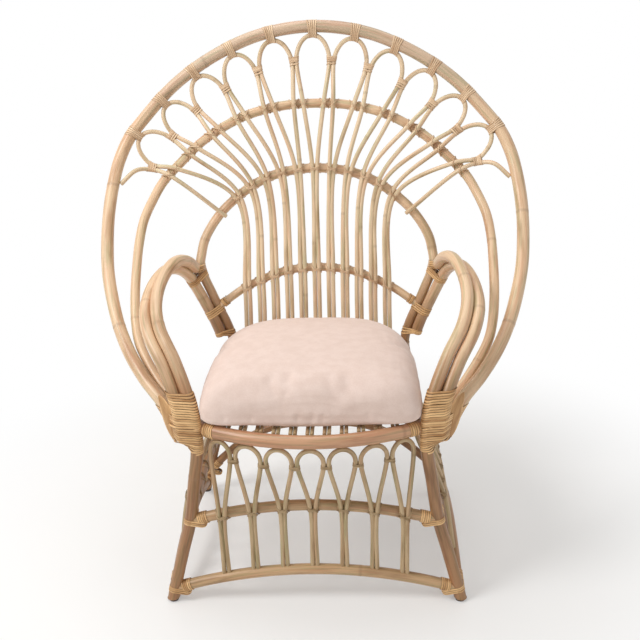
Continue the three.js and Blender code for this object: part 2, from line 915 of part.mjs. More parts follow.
// Stretchers and the rear arch
const ownBands = (joint) => [jointBands.left[joint], jointBands.right[joint]];
put("front_middle_stretcher", fitted(frontMiddle, ...ownBands("frontMiddle")), caneFinish);
put("front_bottom_stretcher", fitted(frontBottom, ...ownBands("frontBottom")), caneFinish);
put("rear_arch_brace", fitted(rearArch), legFinish);
for (const { side } of sides) {
  const middleCut = without(fitted(sideMiddles[side], jointBands[side].sideMiddle), frontMiddle.grown);
  const bottomCut = without(fitted(sideBottoms[side]), frontBottom.grown, rearArch.grown);
  put("side_middle_stretcher_" + side, middleCut, legFinish);
  put("side_bottom_stretcher_" + side, bottomCut, legFinish);
}

// A looped apron hangs under a rail, crosses a middle stretcher and stands on a bottom stretcher.
// Its places are measured along one axis, and its edges are the places where its loops meet.
function apronLoops({ axis, rail, middle, bottom, outward, edges, feet, half, corners, pieces }) {
  const shifted = point(axis === "x" ? 1 : 0, axis === "y" ? 1 : 0, 0);
  const drop = rail.radius + apronRadius + touchGap;
  const on = (cane, place) => cane.line.getPoint(shareAt(cane.line, axis, place));
  const under = (place, distance) => on(rail, place).addScaledVector(upward, -distance);
  return edges.slice(1).map((edge, i) => {
    const [left, right] = [-1, 1].map((sign) => {
      const foot = feet[i] + sign * half;
      const onMiddle = shareAt(middle.line, axis, foot);
      const top = under(sign < 0 ? edges[i] : edge, drop + apronLashingDrop);
      return [
        on(bottom, foot),
        against(middle, onMiddle, upward, apronRadius, outward),
        top.addScaledVector(shifted, -sign * half),
      ];
    });
    const crown = under((edges[i] + edge) / 2, drop);
    return loopedCane(left, right, crown, apronRadius, corners, pieces);
  });
}

// The place where two neighbouring loops are tied: just below the points where their arches spring.
// Each leg of a loop has two points below its springing point.
const apronLegPoints = 2;
const springing = (line, end) => line.points.at(end < 0 ? -1 - apronLegPoints : apronLegPoints);
function tiePoint(loop, next) {
  const meeting = midpoint(springing(loop.line, -1), springing(next.line, 1), 0.5);
  return meeting.addScaledVector(upward, -tieDrop);
}

// Front apron: the end loops stand against the corner bindings
const frontApronHalf = frontCornerHalf - armRadius - heavyBinding - apronRadius - touchGap;
const apronPlaces = Array.from({ length: frontApronLoops }, (_, i) => i - (frontApronLoops - 1) / 2);
const frontApron = apronLoops({
  axis: "x",
  rail: frontRail,
  middle: frontMiddle,
  bottom: frontBottom,
  outward: forward,
  edges: [
    -frontApronHalf,
    ...apronPlaces.slice(1).map((place) => (place - 0.5) * frontApronPitch),
    frontApronHalf,
  ],
  feet: apronPlaces.map((place) => place * frontApronPitch),
  half: apronRadius + touchGap,
  corners: caneSides,
  pieces: apronArchPieces,
});
frontApron.forEach((cane, i) => {
  const next = frontApron[i + 1];
  const parts = [cane.solid];
  if (next) {
    parts.push(without(tieAt(tiePoint(cane, next), cane, next), next.grown));
  }
  const cutters = [frontRail.grown, frontMiddle.grown, frontBottom.grown];
  put("front_apron_loop_" + (i + 1), without(joined(...parts), ...cutters), paleCaneFinish);
});

// Side aprons: each is one frame of loops that are joined where they meet
for (const { side, sign } of sides) {
  const reach = frameDepth - frameRadius - apronRadius - touchGap - sideApronStart;
  const pitch = reach / sideApronLoops;
  const edges = Array.from({ length: sideApronLoops + 1 }, (_, i) => sideApronStart + pitch * i);
  const loops = apronLoops({
    axis: "y",
    rail: sideRails[side],
    middle: sideMiddles[side],
    bottom: sideBottoms[side],
    outward: point(sign, 0, 0),
    edges,
    feet: edges.slice(1).map((edge, i) => (edge + edges[i]) / 2),
    half: apronRadius - sideApronMerge,
    corners: webSides,
    pieces: sideApronArchPieces,
  });
  const cutters = [sideRails[side], sideMiddles[side], sideBottoms[side], backFrame].map((cane) => cane.grown);
  const apron = joined(...loops.map((loop) => loop.solid));
  put("side_apron_" + side, without(apron, ...cutters), paleCaneFinish);
}

// Heavy bindings: the corners, and three down the back of each arm.
// The poles and hoops pass through the corners within these shares of their lines.
const hoopEndShare = 0.2;
const armRiseShare = 0.3;
const cornerForms = [];
for (const { side, sign } of sides) {
  const pole = frontPoles[side];
  const rising = (cane, low, high, from, to) => ({
    cane,
    from: shareAt(cane.line, "z", low, from, to),
    to: shareAt(cane.line, "z", high, from, to),
  });
  const armStretches = (low, high) => [
    rising(pole, low, high, 0, 2 * legShareCount),
    rising(outerArms[side], low, high, 0, armRiseShare),
  ];
  const bandLow = railHeight - cornerBandBelow;
  const bandHigh = railHeight + cornerBandAbove;
  const hoopEnds = sign < 0 ? [0, hoopEndShare] : [1, 1 - hoopEndShare];
  const wholeBundle = [
    ...armStretches(bandLow, bandHigh),
    ...[middleHoop, outerHoop].map((hoop) => rising(hoop, bandLow, bandHigh, ...hoopEnds)),
  ];
  const armPoles = armStretches(railHeight, railHeight + armPolesBandAbove);
  const cornerForm = (standOff) =>
    joined(bindingForm(wholeBundle, standOff, bandSides), bindingForm(armPoles, standOff, bandSides));
  cornerForms.push(cornerForm(heavyBinding + touchGap));
  const corner = without(
    cornerForm(heavyBinding),
    ...[pole, outerArms[side], middleHoop, outerHoop, frontRail, sideRails[side]].map((cane) => cane.grown),
  );
  put("corner_binding_" + side, corner, bindingFinish);
  const armTies = {
    arm_end_binding: [pole.stretch(armBandShare, armBandWidth), bendHeight],
    lumbar_end_binding: [null, lumbarEndHeight],
    post_binding: [null, lowerArmBandHeight],
  };
  for (const [name, [armStretch, height]] of Object.entries(armTies)) {
    const onPost = backFrame.stretch(rearShare(sign, height), armBandWidth);
    const beside = nearestShare(outerArms[side], backFrame.line.getPoint(rearShare(sign, height)));
    const tied = [onPost, armStretch ?? outerArms[side].stretch(beside, armBandWidth)];
    const cutters = [backFrame, pole, outerArms[side], lumbarRail].map((cane) => cane.grown);
    put(name + "_" + side, without(bindingForm(tied, heavyBinding, bandSides), ...cutters), bindingFinish);
  }
}

// Seat canes: pairs laid from the front rail to the fan, carried by a bearer between the side rails
const seatCaneHeight = seatLevel - seatCaneRadius - touchGap;
const seatCaneEnd = fanFront - fanRadius - touchGap;
// Where a seat cane's square end just clears the bowed front rail
function railBack(x) {
  const above = seatCaneHeight - seatCaneRadius - railHeight;
  const reach = Math.sqrt((frontRailRadius + crossGap) ** 2 - above ** 2);
  const corners = [x - seatCaneRadius, x + seatCaneRadius].map((place) => {
    const share = shareAt(frontRail.line, "x", place);
    return frontRail.line.getPoint(share).y + reach / frontRail.line.getTangent(share).x;
  });
  return Math.max(...corners);
}
const seatCanes = [];
for (let place = -loopSpan; place <= loopSpan; place++) {
  for (const sign of [-1, 1]) {
    const x = place * seatPitch + sign * (seatCaneRadius + touchGap);
    const line = new THREE.LineCurve3(
      point(x, railBack(x), seatCaneHeight),
      point(x, seatCaneEnd, seatCaneHeight),
    );
    seatCanes.push(new Cane(line, seatCaneRadius, webSides, 1).solid);
  }
}
const bearerDrop = seatCaneRadius + bearerRadius - bearerOverlap;
const bearerDepth = mix(frontRailSetback, seatCaneEnd, bearerShare);
const bearerEnds = sides.map(({ side }) => {
  const onRail = sideRails[side].line.getPoint(bearerShare);
  return point(onRail.x, bearerDepth, seatCaneHeight - bearerDrop);
});
const bearer = new Cane(new THREE.LineCurve3(...bearerEnds), bearerRadius, webSides, 1);
const bearerFitted = without(bearer.solid, sideRails.left.grown, sideRails.right.grown);
put("seat_canes", joined(...seatCanes, bearerFitted), paleCaneFinish);

// Cushion: a crowned form whose sides draw in to a flat underside, on an outline that is round at the back
const cushionHalf = frontCornerHalf - cushionSideGap;
const cushionBack = fanFront - fanRadius - cushionBackGap;
const cushionFrontRoundness = 5.5;
const cushionBackRoundness = 3.2;
const cushionProfileShares = [
  [0, 0],
  [0.45, 0],
  [0.88, 0],
  [0.955, 0.08],
  [0.99, 0.21],
  [1, 0.36],
  [0.99, 0.51],
  [0.955, 0.67],
  [0.89, 0.8],
  [0.76, 0.9],
  [0.45, 0.975],
  [0, 1],
];
function cushionReach(x, y) {
  const isFront = y < 0;
  const depth = isFront ? cushionWidestBack - cushionFront : cushionBack - cushionWidestBack;
  const power = isFront ? cushionFrontRoundness : cushionBackRoundness;
  const size = Math.hypot(x, y);
  const [across, back] = [Math.abs(x) / size / cushionHalf, Math.abs(y) / size / depth];
  return (across ** power + back ** power) ** (-1 / power);
}
function cushion() {
  const profile = cushionProfileShares.map(([out, up]) => new THREE.Vector2(out, up * cushionThickness));
  const geometry = new THREE.LatheGeometry(profile, cushionSides).rotateX(Math.PI / 2);
  const places = geometry.attributes.position;
  for (let i = 0; i < places.count; i++) {
    const [x, y] = [places.getX(i), places.getY(i)];
    const out = Math.hypot(x, y);
    const reach = out > 0 ? cushionReach(x, y) : 0;
    places.setXY(i, x * reach, y * reach + cushionWidestBack);
  }
  return solidOf(geometry.translate(0, 0, seatLevel + touchGap));
}
const besideCushion = sides.flatMap(({ side }) => [frontPoles[side].grown, outerArms[side].grown]);
put("seat_cushion", without(cushion(), ...cornerForms, ...besideCushion), clothFinish);

// Glides under the feet
function glide(foot) {
  const height = glideHeight - touchGap;
  const disc = new THREE.CylinderGeometry(glideRadius, glideRadius, height, glideSides).rotateX(Math.PI / 2);
  return solidOf(disc.translate(foot.x, foot.y, height / 2));
}
for (const { side, sign } of sides) {
  put("front_glide_" + side, glide(legPoint(side, glideHeight)), glideFinish);
  put("rear_glide_" + side, glide(backFrame.line.getPoint(rearShare(sign, glideHeight))), glideFinish);
}

// The chair stands on its glides, centred over its origin from front to back
const bounds = new THREE.Box3().setFromObject(root);
root.position.y = -(bounds.min.y + bounds.max.y) / 2;

export default root;
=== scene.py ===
"""A peacock chair of bent rattan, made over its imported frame.

Two hoops, a back frame, the arms, a fan of looped canes, looped aprons, split-cane bindings,
a loose cushion and four glides. Each piece is a surface worked out from the chair's sizes.
"""

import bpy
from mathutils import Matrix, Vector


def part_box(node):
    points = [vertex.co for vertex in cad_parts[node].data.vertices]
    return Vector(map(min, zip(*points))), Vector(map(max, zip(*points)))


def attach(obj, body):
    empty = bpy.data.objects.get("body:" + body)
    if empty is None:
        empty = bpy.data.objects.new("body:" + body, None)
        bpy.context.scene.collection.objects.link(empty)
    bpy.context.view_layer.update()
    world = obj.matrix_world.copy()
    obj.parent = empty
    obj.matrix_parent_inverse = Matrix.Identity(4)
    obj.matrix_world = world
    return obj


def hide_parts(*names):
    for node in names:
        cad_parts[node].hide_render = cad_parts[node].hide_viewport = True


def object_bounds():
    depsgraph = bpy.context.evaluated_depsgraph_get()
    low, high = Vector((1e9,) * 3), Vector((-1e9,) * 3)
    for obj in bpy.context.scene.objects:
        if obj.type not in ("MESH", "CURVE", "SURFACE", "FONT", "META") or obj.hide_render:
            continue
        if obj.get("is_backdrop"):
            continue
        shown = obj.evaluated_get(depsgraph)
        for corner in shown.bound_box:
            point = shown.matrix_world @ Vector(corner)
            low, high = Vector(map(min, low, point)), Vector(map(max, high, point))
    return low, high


bl_info = {
    "name": "Peacock chair",
    "version": (1, 0, 0),
    "blender": (4, 5, 0),
    "location": "View3D > Sidebar > Chair",
    "description": "Rattan peacock chair with bound joints and a loose seat cushion",
    "category": "Object",
}

import math

import bpy
import numpy as np
from bpy.props import FloatProperty, FloatVectorProperty, IntProperty, PointerProperty
from mathutils import Matrix

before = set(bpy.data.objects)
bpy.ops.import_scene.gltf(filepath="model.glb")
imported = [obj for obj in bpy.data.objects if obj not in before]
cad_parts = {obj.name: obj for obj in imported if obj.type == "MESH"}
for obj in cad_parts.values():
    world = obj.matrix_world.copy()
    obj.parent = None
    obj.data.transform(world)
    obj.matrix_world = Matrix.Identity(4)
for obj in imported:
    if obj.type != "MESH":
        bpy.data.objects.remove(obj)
CAD_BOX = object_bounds()
SIDES = {"left": -1, "right": 1}


def length(name, millimetres, description):
    """A length that a user may change. It is given here in millimetres and kept in metres."""
    return FloatProperty(
        name=name,
        description=description,
        default=millimetres / 1000,
        soft_min=0,
        precision=4,
        unit="LENGTH",
        subtype="DISTANCE",
    )


def angle(name, degrees, description):
    """An angle that a user may change. It is given here in degrees and kept in radians."""
    return FloatProperty(
        name=name, description=description, default=math.radians(degrees), unit="ROTATION", subtype="ANGLE"
    )


def share(name, value, description):
    """A share of another size, from 0 to 1"""
    return FloatProperty(name=name, description=description, default=value, min=0, max=1, subtype="FACTOR")


def count(name, number, least, description):
    """A whole number that a user may change"""
    return IntProperty(name=name, description=description, default=number, min=least)


def power(name, value, description):
    """The power in the formula of an outline: the higher, the squarer"""
    return FloatProperty(name=name, description=description, default=value, min=1)


def colour(name, red, green, blue, description):
    """A colour written as the eye sees it, with each part from 0 to 255"""
    values = [((part / 255 + 0.055) / 1.055) ** 2.4 for part in (red, green, blue)]
    return FloatVectorProperty(
        name=name, description=description, default=values, size=3, min=0, max=1, subtype="COLOR"
    )


class CaneSizes(bpy.types.PropertyGroup):
    """Radii of the canes and the gaps between canes that touch"""

    touch: length("Touching gap", 0.3, "Gap between pieces that lie side by side")
    cross: length("Crossing gap", 0.5, "Gap between canes that cross")
    outer_hoop: length("Outer hoop", 15, "Radius of the outer hoop")
    middle_hoop: length("Middle hoop", 11.5, "Radius of the middle hoop")
    back_frame: length("Back frame", 12, "Radius of the back frame and rear legs")
    arm: length("Arms and legs", 14, "Radius of the front legs and of the arms")
    lumbar: length("Lumbar rail", 10.5, "Radius of the lumbar rail")
    front_rail: length("Front rail", 15, "Radius of the front seat rail")
    seat_rail: length("Seat rails", 12, "Radius of the side and rear seat rails")
    stretcher: length("Stretchers", 12.5, "Radius of the stretchers")
    rear_arch: length("Rear arch", 11, "Radius of the arch between the rear legs")
    fan: length("Fan canes", 5.5, "Radius of the looped canes in the back")
    apron: length("Apron canes", 5.2, "Radius of the looped canes under the seat")
    seat_cane: length("Seat canes", 4.5, "Radius of the canes laid across the seat")
    bearer: length("Bearer", 8, "Radius of the pole that carries the seat canes")


class SeatSizes(bpy.types.PropertyGroup):
    """Seat frame and feet"""

    rail_height: length("Rail height", 434, "Height of the front rail's middle line")
    front_half: length("Front half width", 252, "From the middle to a front corner")
    taper: length("Taper", 27, "How much narrower each side is at the back")
    depth: length("Depth", 478, "From the front legs to the back posts")
    rail_bow: length("Front rail bow", 70, "How far the front rail bows forward")
    rail_setback: length("Front rail setback", 12, "The front rail's ends behind the legs")
    side_inset: length("Side rail inset", 18, "The side rails' front ends inside the corners")
    glide_height: length("Glide height", 6, "Height of the glides")
    glide_radius: length("Glide radius", 11, "Radius of the glides")
    front_foot: length("Front foot half width", 332, "From the middle to a front foot")
    foot_forward: length("Front foot forward", 10, "How far the front feet stand forward")
    rear_foot: length("Rear foot half width", 326, "From the middle to a rear foot")


class BackSizes(bpy.types.PropertyGroup):
    """Back frame, hoops, lumbar rail and arms"""

    bend_half: length("Bend half width", 298, "Half width where the back frame bends inward")
    bend_height: length("Bend height", 658, "Height where the back frame bends inward")
    frame_top: length("Back frame top", 890, "Height of the back frame's top")
    frame_lean: length("Back frame lean", 82, "How far the back frame's top leans back")
    lumbar_height: length("Lumbar ends", 547, "Height of the lumbar rail's ends")
    lumbar_rise: length("Lumbar rise", 98, "How high the lumbar rail arches")
    lumbar_bow: length("Lumbar bow", 22, "How far the lumbar rail bows back")
    middle_inset: length("Middle hoop inset", 74, "The middle hoop inside the outer one")
    middle_widest: length("Middle hoop widest height", 710, "Height where the middle hoop is widest")
    middle_widest_back: length("Middle hoop widest depth", 343, "Depth where the middle hoop is widest")
    middle_top: length("Middle hoop top", 1048.5, "Height of the middle hoop's top")
    middle_back: length("Middle hoop back", 587, "Depth of the middle hoop's top")
    outer_half: length("Outer hoop half width", 502, "Half the outer hoop's width")
    outer_widest: length("Outer hoop widest height", 805, "Height where the outer hoop is widest")
    outer_widest_back: length("Outer hoop widest depth", 401, "Depth where the outer hoop is widest")
    outer_top: length("Outer hoop top", 1232, "Height of the outer hoop's top")
    outer_back: length("Outer hoop back", 618, "Depth of the outer hoop's top")
    tail_drop: length("Tail drop", 22, "How far the hoops' ends reach below the front rail")
    arm_inset: length("Arm inset", 78, "The arms inside the middle hoop")
    arm_top: length("Arm top", 720, "Height of the arms' highest point")


class StretcherSizes(bpy.types.PropertyGroup):
    """Stretchers and the rear arch"""

    front_middle: length("Middle height", 207, "Height of the middle stretchers at the front legs")
    front_middle_rise: length("Front middle rise", 40, "How high the front middle stretcher arches")
    bottom: length("Bottom height", 30, "Height of the bottom stretchers at the legs")
    bottom_rise: length("Bottom rise", 52, "How high the bottom stretchers arch")
    side_rear: length("Side middle rear height", 160, "Height of the side stretchers at the rear")
    side_rise: length("Side middle rise", 30, "How high the side middle stretchers arch")
    arch_foot: length("Rear arch feet", 64, "Height of the rear arch's ends")
    arch_rise: length("Rear arch rise", 148, "How high the rear arch rises")


class FanSizes(bpy.types.PropertyGroup):
    """Fan of looped canes"""

    loops: count("Loops", 11, 1, "Number of looped canes")
    crown_pitch: share("Crown pitch", 0.0394, "Share of the outer hoop between two crowns")
    lashing_depth: length("Lashing depth", 80, "From the outer hoop to the lashings")
    middle_pitch: share("Middle pitch", 0.0326, "Share of the middle hoop between two lashings")
    middle_split: length("Middle split", 12, "Half the gap of a crossing pair on the middle hoop")
    inner_pitch: length("Inner pitch", 43, "Between the pairs on the back frame")
    side_room: length("Seat side room", 43, "From the outermost pair to the seat's rear corner")
    end_lashing: share("End lashing", 0.18, "How much further round the end lashings lie")
    half_reach: length("Half cane reach", 58, "From the end lashing to the half cane's hoop end")
    half_lift: length("Half cane lift", 14, "How high the half cane arches")
    half_end: length("Half cane end", 6, "How far the half cane is let into the outer hoop")
    half_inner: length("Half cane on the frame", 275, "Where the half cane crosses the back frame")
    tail: length("Tail", 14, "How far a cane reaches past its last crossing")


class ApronSizes(bpy.types.PropertyGroup):
    """Looped aprons"""

    front_loops: count("Front loops", 7, 2, "Loops in front")
    front_pitch: length("Front pitch", 68, "Between the loops in front")
    side_loops: count("Side loops", 6, 2, "Loops on each side")
    side_start: length("Side start", 58, "Where the side loops begin behind the front legs")
    side_merge: length("Side merge", 0.9, "How closely the side loops stand together")
    lashing_drop: length("Lashing drop", 32, "From the crowns down to the springing points")
    end_room: length("End room", 4, "Room for the corner bindings beside the end loops")
    tie_drop: length("Tie drop", 10, "From the springing points down to the ties")


class CushionSizes(bpy.types.PropertyGroup):
    """Seat cushion"""

    side_reach: length("Side reach", 3, "How far the cushion reaches past the corners' middle lines")
    back_gap: length("Back gap", 2.7, "How far the cushion stays in front of the fan")
    widest: length("Widest depth", 100, "Depth at which the cushion is widest")
    front: length("Front edge", -40, "Depth of the cushion's front edge at the corners")
    front_bow: length("Front bow", 9, "How far the front edge bows forward in the middle")
    thickness: length("Thickness", 117, "Thickness at the crown")
    front_power: power("Front squareness", 9, "Power of the front half's outline")
    back_power: power("Back squareness", 3.4, "Power of the back half's outline")
    slack: length("Slack", 4, "How much smaller the cover is before it is filled")
    swell: length("Swell", 9, "How far the filling may push the cloth out")
    voxel: length("Cloth mesh", 5.5, "Size of the cloth's mesh while it swells")
    seam_height: length("Seam height", 27, "Height of the seam above the seat")
    seam_width: length("Seam width", 6, "Half the width of the hollow along the seam")
    seam_depth: length("Seam depth", 2.2, "Depth of the hollow along the seam")
    pucker_width: length("Pucker width", 6, "Half the width of a pucker in the front")
    pucker_reach: length("Pucker reach", 12, "How far a pucker runs above and below the seam")
    pucker_depth: length("Pucker depth", 3.5, "Depth of a pucker")


class BindingSizes(bpy.types.PropertyGroup):
    """Split cane that binds the joints"""

    strip: length("Strip width", 5.0, "Width of the strips on the heavy bindings")
    crown_strip: length("Crown strip width", 4.4, "Width of the strips at the crowns")
    lashing_strip: length("Lashing strip width", 4.8, "Width of the strips at the lashings")
    tie_strip: length("Tie strip width", 2.4, "Width of the thin ties where canes cross")
    thickness: length("Strip thickness", 1.1, "Thickness of a strip")
    crown_band: length("Crown band", 27, "Length of a crown binding")
    lashing_band: length("Lashing band", 29, "Length of a lashing")
    apron_band: length("Apron tie band", 12, "Length of the ties between apron loops")
    corner_below: length("Corner below", 55, "How far the corner binding reaches below the rail")
    corner_above: length("Corner above", 36, "How far it reaches above the rail round the hoops")
    arms_above: length("Arm poles above", 88, "How far it reaches above the rail round the arms")
    corner_lean: length("Corner lean", 5, "How far the turns of the corner binding climb outward")
    strap_width: length("Strap width", 36, "Width of the leaf-shaped strap over a corner")
    strap_depth: length("Strap depth", 9, "How thick the strap is in its middle")
    strap_low: length("Strap low end", 26, "How far the strap reaches below the rail")
    strap_high: length("Strap high end", 72, "How far the strap reaches above the rail")
    arm_end_band: length("Arm end band", 25, "Length of the binding below an arm's end")
    arm_end_height: length("Arm end band height", 640, "Height of the binding below an arm's end")
    lumbar_band: length("Lumbar band", 29, "Length of the binding at the lumbar rail's ends")
    lumbar_height: length("Lumbar band height", 543, "Height of the binding at the lumbar rail's ends")
    low_band: length("Lowest band", 28, "Length of the lowest binding at the back posts")
    low_height: length("Lowest band height", 475, "Height of the lowest binding at the back posts")
    rail_band: length("Rail band", 30, "Length of the windings at the front rail's ends")
    joint_band: length("Joint band", 28, "Length of the windings round a stretcher's end")
    lumbar_sleeve: length("Lumbar sleeve", 20, "Length of the windings round the lumbar rail's ends")


class ChairFinishes(bpy.types.PropertyGroup):
    """Colours of the chair"""

    pole: colour("Poles", 232, 200, 163, "Hoops, back frame and arms")
    pole_shade: colour("Pole shading", 184, 142, 103, "Darker stretches of the poles")
    crown: colour("Hoop's crown", 212, 184, 156, "Top of the outer hoop")
    crown_shade: colour("Hoop's crown shading", 166, 136, 110, "Darker stretches of the hoop's top")
    thin: colour("Thin canes", 234, 208, 174, "Looped canes of the back")
    thin_shade: colour("Thin cane shading", 182, 156, 114, "Greener stretches of the looped canes")
    # Painted shade: a darker copy of the thin canes' colours for the canes under the seat and the cushion,
    # and for their ties.
    apron: colour("Apron canes", 198, 172, 134, "Looped canes under the seat")
    apron_shade: colour("Apron cane shading", 150, 120, 80, "Darker stretches of the apron's canes")
    # Partly the legs' own browner colour and partly painted shade under the seat; the lower arms, the rear
    # legs, and the rails and stretchers under the seat take it too.
    leg: colour("Legs", 170, 126, 86, "Front legs and the arms' lower ends")
    leg_shade: colour("Leg shading", 116, 82, 52, "Darker stretches of the legs")
    # Painted shade: a darker copy of the pole colours for the front stretchers under the seat.
    brace: colour("Braces", 204, 168, 126, "Front stretchers")
    brace_shade: colour("Brace shading", 148, 112, 76, "Darker stretches of the stretchers")
    rail: colour("Front rail", 202, 156, 120, "Front seat rail")
    rail_shade: colour("Front rail shading", 156, 104, 72, "Darker stretches of the front rail")
    strip: colour("Binding", 238, 208, 172, "Split cane")
    strip_shade: colour("Binding shading", 190, 152, 114, "Darker strips of split cane")
    corner_strip: colour("Corner binding", 242, 200, 144, "Split cane at the front corners")
    corner_strip_shade: colour("Corner binding shading", 168, 120, 70, "Darker strips at the front corners")
    cloth: colour("Cloth", 236, 214, 203, "Cushion cover")
    # Partly painted shade: the shading colour darkens the weave's hollows, and also gives the cloth's own
    # uneven tone.
    cloth_shade: colour("Cloth shading", 222, 197, 184, "Hollows of the cushion cover's weave")
    glide: colour("Glides", 52, 47, 44, "Glides under the feet")
    floor: colour("Floor", 250, 249, 247, "Floor round the chair")


class ViewSizes(bpy.types.PropertyGroup):
    """Where the camera stands, from the front legs' middle, and how it is turned"""

    across: length("Across", 114, "How far to the right of the chair's middle the camera stands")
    distance: length("Distance", 1838, "How far in front of the front legs the camera stands")
    height: length("Height", 1385, "How high the camera stands")
    yaw: angle("Yaw", 2.7, "Turn to the left")
    pitch: angle("Pitch", 20.75, "Turn downward")
    roll: angle("Roll", 1.7, "Roll of the picture")
    lens: FloatProperty(name="Lens", description="Focal length in millimetres", default=53.44, min=1)


class PeacockChair(bpy.types.PropertyGroup):
    """All sizes and colours of the chair"""

    canes: PointerProperty(type=CaneSizes, name="Canes", description="Radii of the canes")
    seat: PointerProperty(type=SeatSizes, name="Seat", description="Seat frame and feet")
    back: PointerProperty(type=BackSizes, name="Back", description="Frame, hoops and arms")
    stretchers: PointerProperty(type=StretcherSizes, name="Stretchers", description="Stretchers")
    fan: PointerProperty(type=FanSizes, name="Fan", description="Looped canes of the back")
    apron: PointerProperty(type=ApronSizes, name="Aprons", description="Looped aprons")
    cushion: PointerProperty(type=CushionSizes, name="Cushion", description="Seat cushion")
    binding: PointerProperty(type=BindingSizes, name="Bindings", description="Split cane")
    finishes: PointerProperty(type=ChairFinishes, name="Finishes", description="Colours")
    view: PointerProperty(type=ViewSizes, name="View", description="Camera")


# How each line runs, point by point: shares of its spans across, back and up
REAR_LEG_SHARES = (
    (1.03, 0, -0.03), (0.93, 0, 0.08), (0.72, 0, 0.28), (0.36, 0, 0.58), (0.1, 0, 0.84),
)
BACK_POST_SHARES = (
    (0, 0, 0), (0.04, 0, 0.14), (0.2, 0, 0.31), (0.45, 0, 0.5), (0.69, 0, 0.7), (0.9, 0, 0.88),
)
BACK_HOOP_SHARES = (
    (1, 0.04, 0.02), (0.99, 0.2, 0.13), (0.965, 0.38, 0.26), (0.905, 0.56, 0.4), (0.82, 0.7, 0.54),
    (0.72, 0.8, 0.66), (0.56, 0.9, 0.81), (0.385, 0.96, 0.92), (0.2, 0.99, 0.98), (0, 1, 1),
)
FRONT_LEG_SHARES = (
    (1.03, 1, -0.03), (0.94, 0.8, 0.05), (0.62, 0.3, 0.28), (0.34, 0.1, 0.47), (0.14, 0, 0.71),
    (0, 0, 0.88), (0, 0, 1),
)
INNER_ARM_SHARES = (
    (0.1, 0.022, 0.225), (0.44, 0.12, 0.49), (0.82, 0.23, 0.685), (0.97, 0.33, 0.8),
    (1, 0.44, 0.89), (0.94, 0.55, 0.96), (0.83, 0.66, 1), (0.73, 0.77, 0.98), (0.63, 0.89, 0.91),
)
# Where the inner arm ends beside the back post, in spacings of the two poles
ARM_END_SHARES = (0.3, -0.95, 0.1)
# The way from each point of the inner arm to the outer arm
BESIDE_ARM_SHARES = (
    (1, 0.1, 0), (0.97, 0.05, -0.2), (0.95, 0, -0.3), (0.93, 0.05, -0.38), (0.86, 0.15, -0.5),
    (0.8, 0.3, -0.55), (0.72, 0.3, -0.65), (0.66, 0.2, -0.74), (0.62, 0.1, -0.8),
)
# The outer arm beside the back post: a share of the height, then spacings across and back
BESIDE_POST_SHARES = (
    (0.92, 1.07, -1.25), (0.74, 0.98, -0.74), (0.56, 0.92, -0.57), (0.36, 0.9, -0.57),
    (0.17, 0.88, -0.57),
)
# The hoops: a flare from the corner to the widest place, then a crown to the top
MIDDLE_FLARE_SHARES = (
    (0, 0, 0), (0.179, 0.131, 0.137), (0.489, 0.274, 0.285), (0.825, 0.497, 0.492),
    (0.922, 0.629, 0.606), (0.98, 0.795, 0.777), (1, 1, 1),
)
MIDDLE_CROWN_SHARES = (
    (0.998, 0.172, 0.124), (0.981, 0.332, 0.254), (0.935, 0.48, 0.384), (0.878, 0.594, 0.499),
    (0.78, 0.705, 0.62), (0.67, 0.811, 0.744), (0.551, 0.889, 0.839), (0.416, 0.947, 0.919),
    (0.285, 0.98, 0.965), (0.145, 0.996, 0.993), (0, 1, 1),
)
OUTER_FLARE_SHARES = (
    (0, 0, 0), (0.195, 0.084, 0.158), (0.4, 0.197, 0.247), (0.582, 0.319, 0.344),
    (0.745, 0.465, 0.463), (0.865, 0.614, 0.598), (0.952, 0.76, 0.74), (0.993, 0.908, 0.893),
    (1, 1, 1),
)
OUTER_CROWN_SHARES = (
    (0.996, 0.147, 0.096), (0.984, 0.29, 0.197), (0.962, 0.424, 0.3), (0.916, 0.553, 0.415),
    (0.841, 0.664, 0.522), (0.697, 0.816, 0.691), (0.528, 0.908, 0.827), (0.325, 0.972, 0.937),
    (0.163, 0.995, 0.984), (0, 1, 1),
)
REAR_ARCH_SHARES = (
    (1, 0, 0), (0.86, 0, 0.3), (0.68, 0, 0.62), (0.42, 0, 0.9), (0.2, 0, 0.985), (0, 0, 1),
)
LUMBAR_SHARES = (
    (1, 0, 0), (0.94, 0.1, 0.12), (0.74, 0.5, 0.47), (0.55, 0.76, 0.7), (0.38, 0.9, 0.87),
    (0.2, 0.97, 0.965), (0, 1, 1),
)
# The cushion's and the glides' profiles: shares of the outline's size and of the height
CUSHION_PROFILE_SHARES = (
    (0.3, 0), (0.6, 0), (0.88, 0.004), (0.965, 0.05), (0.995, 0.14), (1, 0.23), (0.985, 0.36),
    (0.95, 0.52), (0.9, 0.67), (0.83, 0.79), (0.71, 0.885), (0.47, 0.965), (0.2, 0.995),
)
# Where the puckers lie along the cushion's front, in shares of the front corners' half width
PUCKERS = (-0.74, -0.5, -0.1, 0.02, 0.12, 0.5, 0.8)
GLIDE_PROFILE_SHARES = (
    (0.86, 0), (0.97, 0.04), (1, 0.2), (1, 0.75), (0.94, 0.95), (0.82, 1),
)

FORWARD = np.array([0.0, -1.0, 0.0])
UPWARD = np.array([0.0, 0.0, 1.0])
MIRROR = np.array([-1.0, 1.0, 1.0])


def mix(start, end, part):
    """The value that lies a given part of the way from start to end"""
    return start + (end - start) * part


def unit(vectors):
    """Vectors of length one with the same directions"""
    return vectors / np.maximum(np.linalg.norm(vectors, axis=-1, keepdims=True), 1e-12)


def spread(shares, across, back, up):
    """Points from shares of three spans, each of which is given as its start and its end"""
    start, end = np.array([across, back, up], float).T
    return mix(start, end, np.array(shares, float))


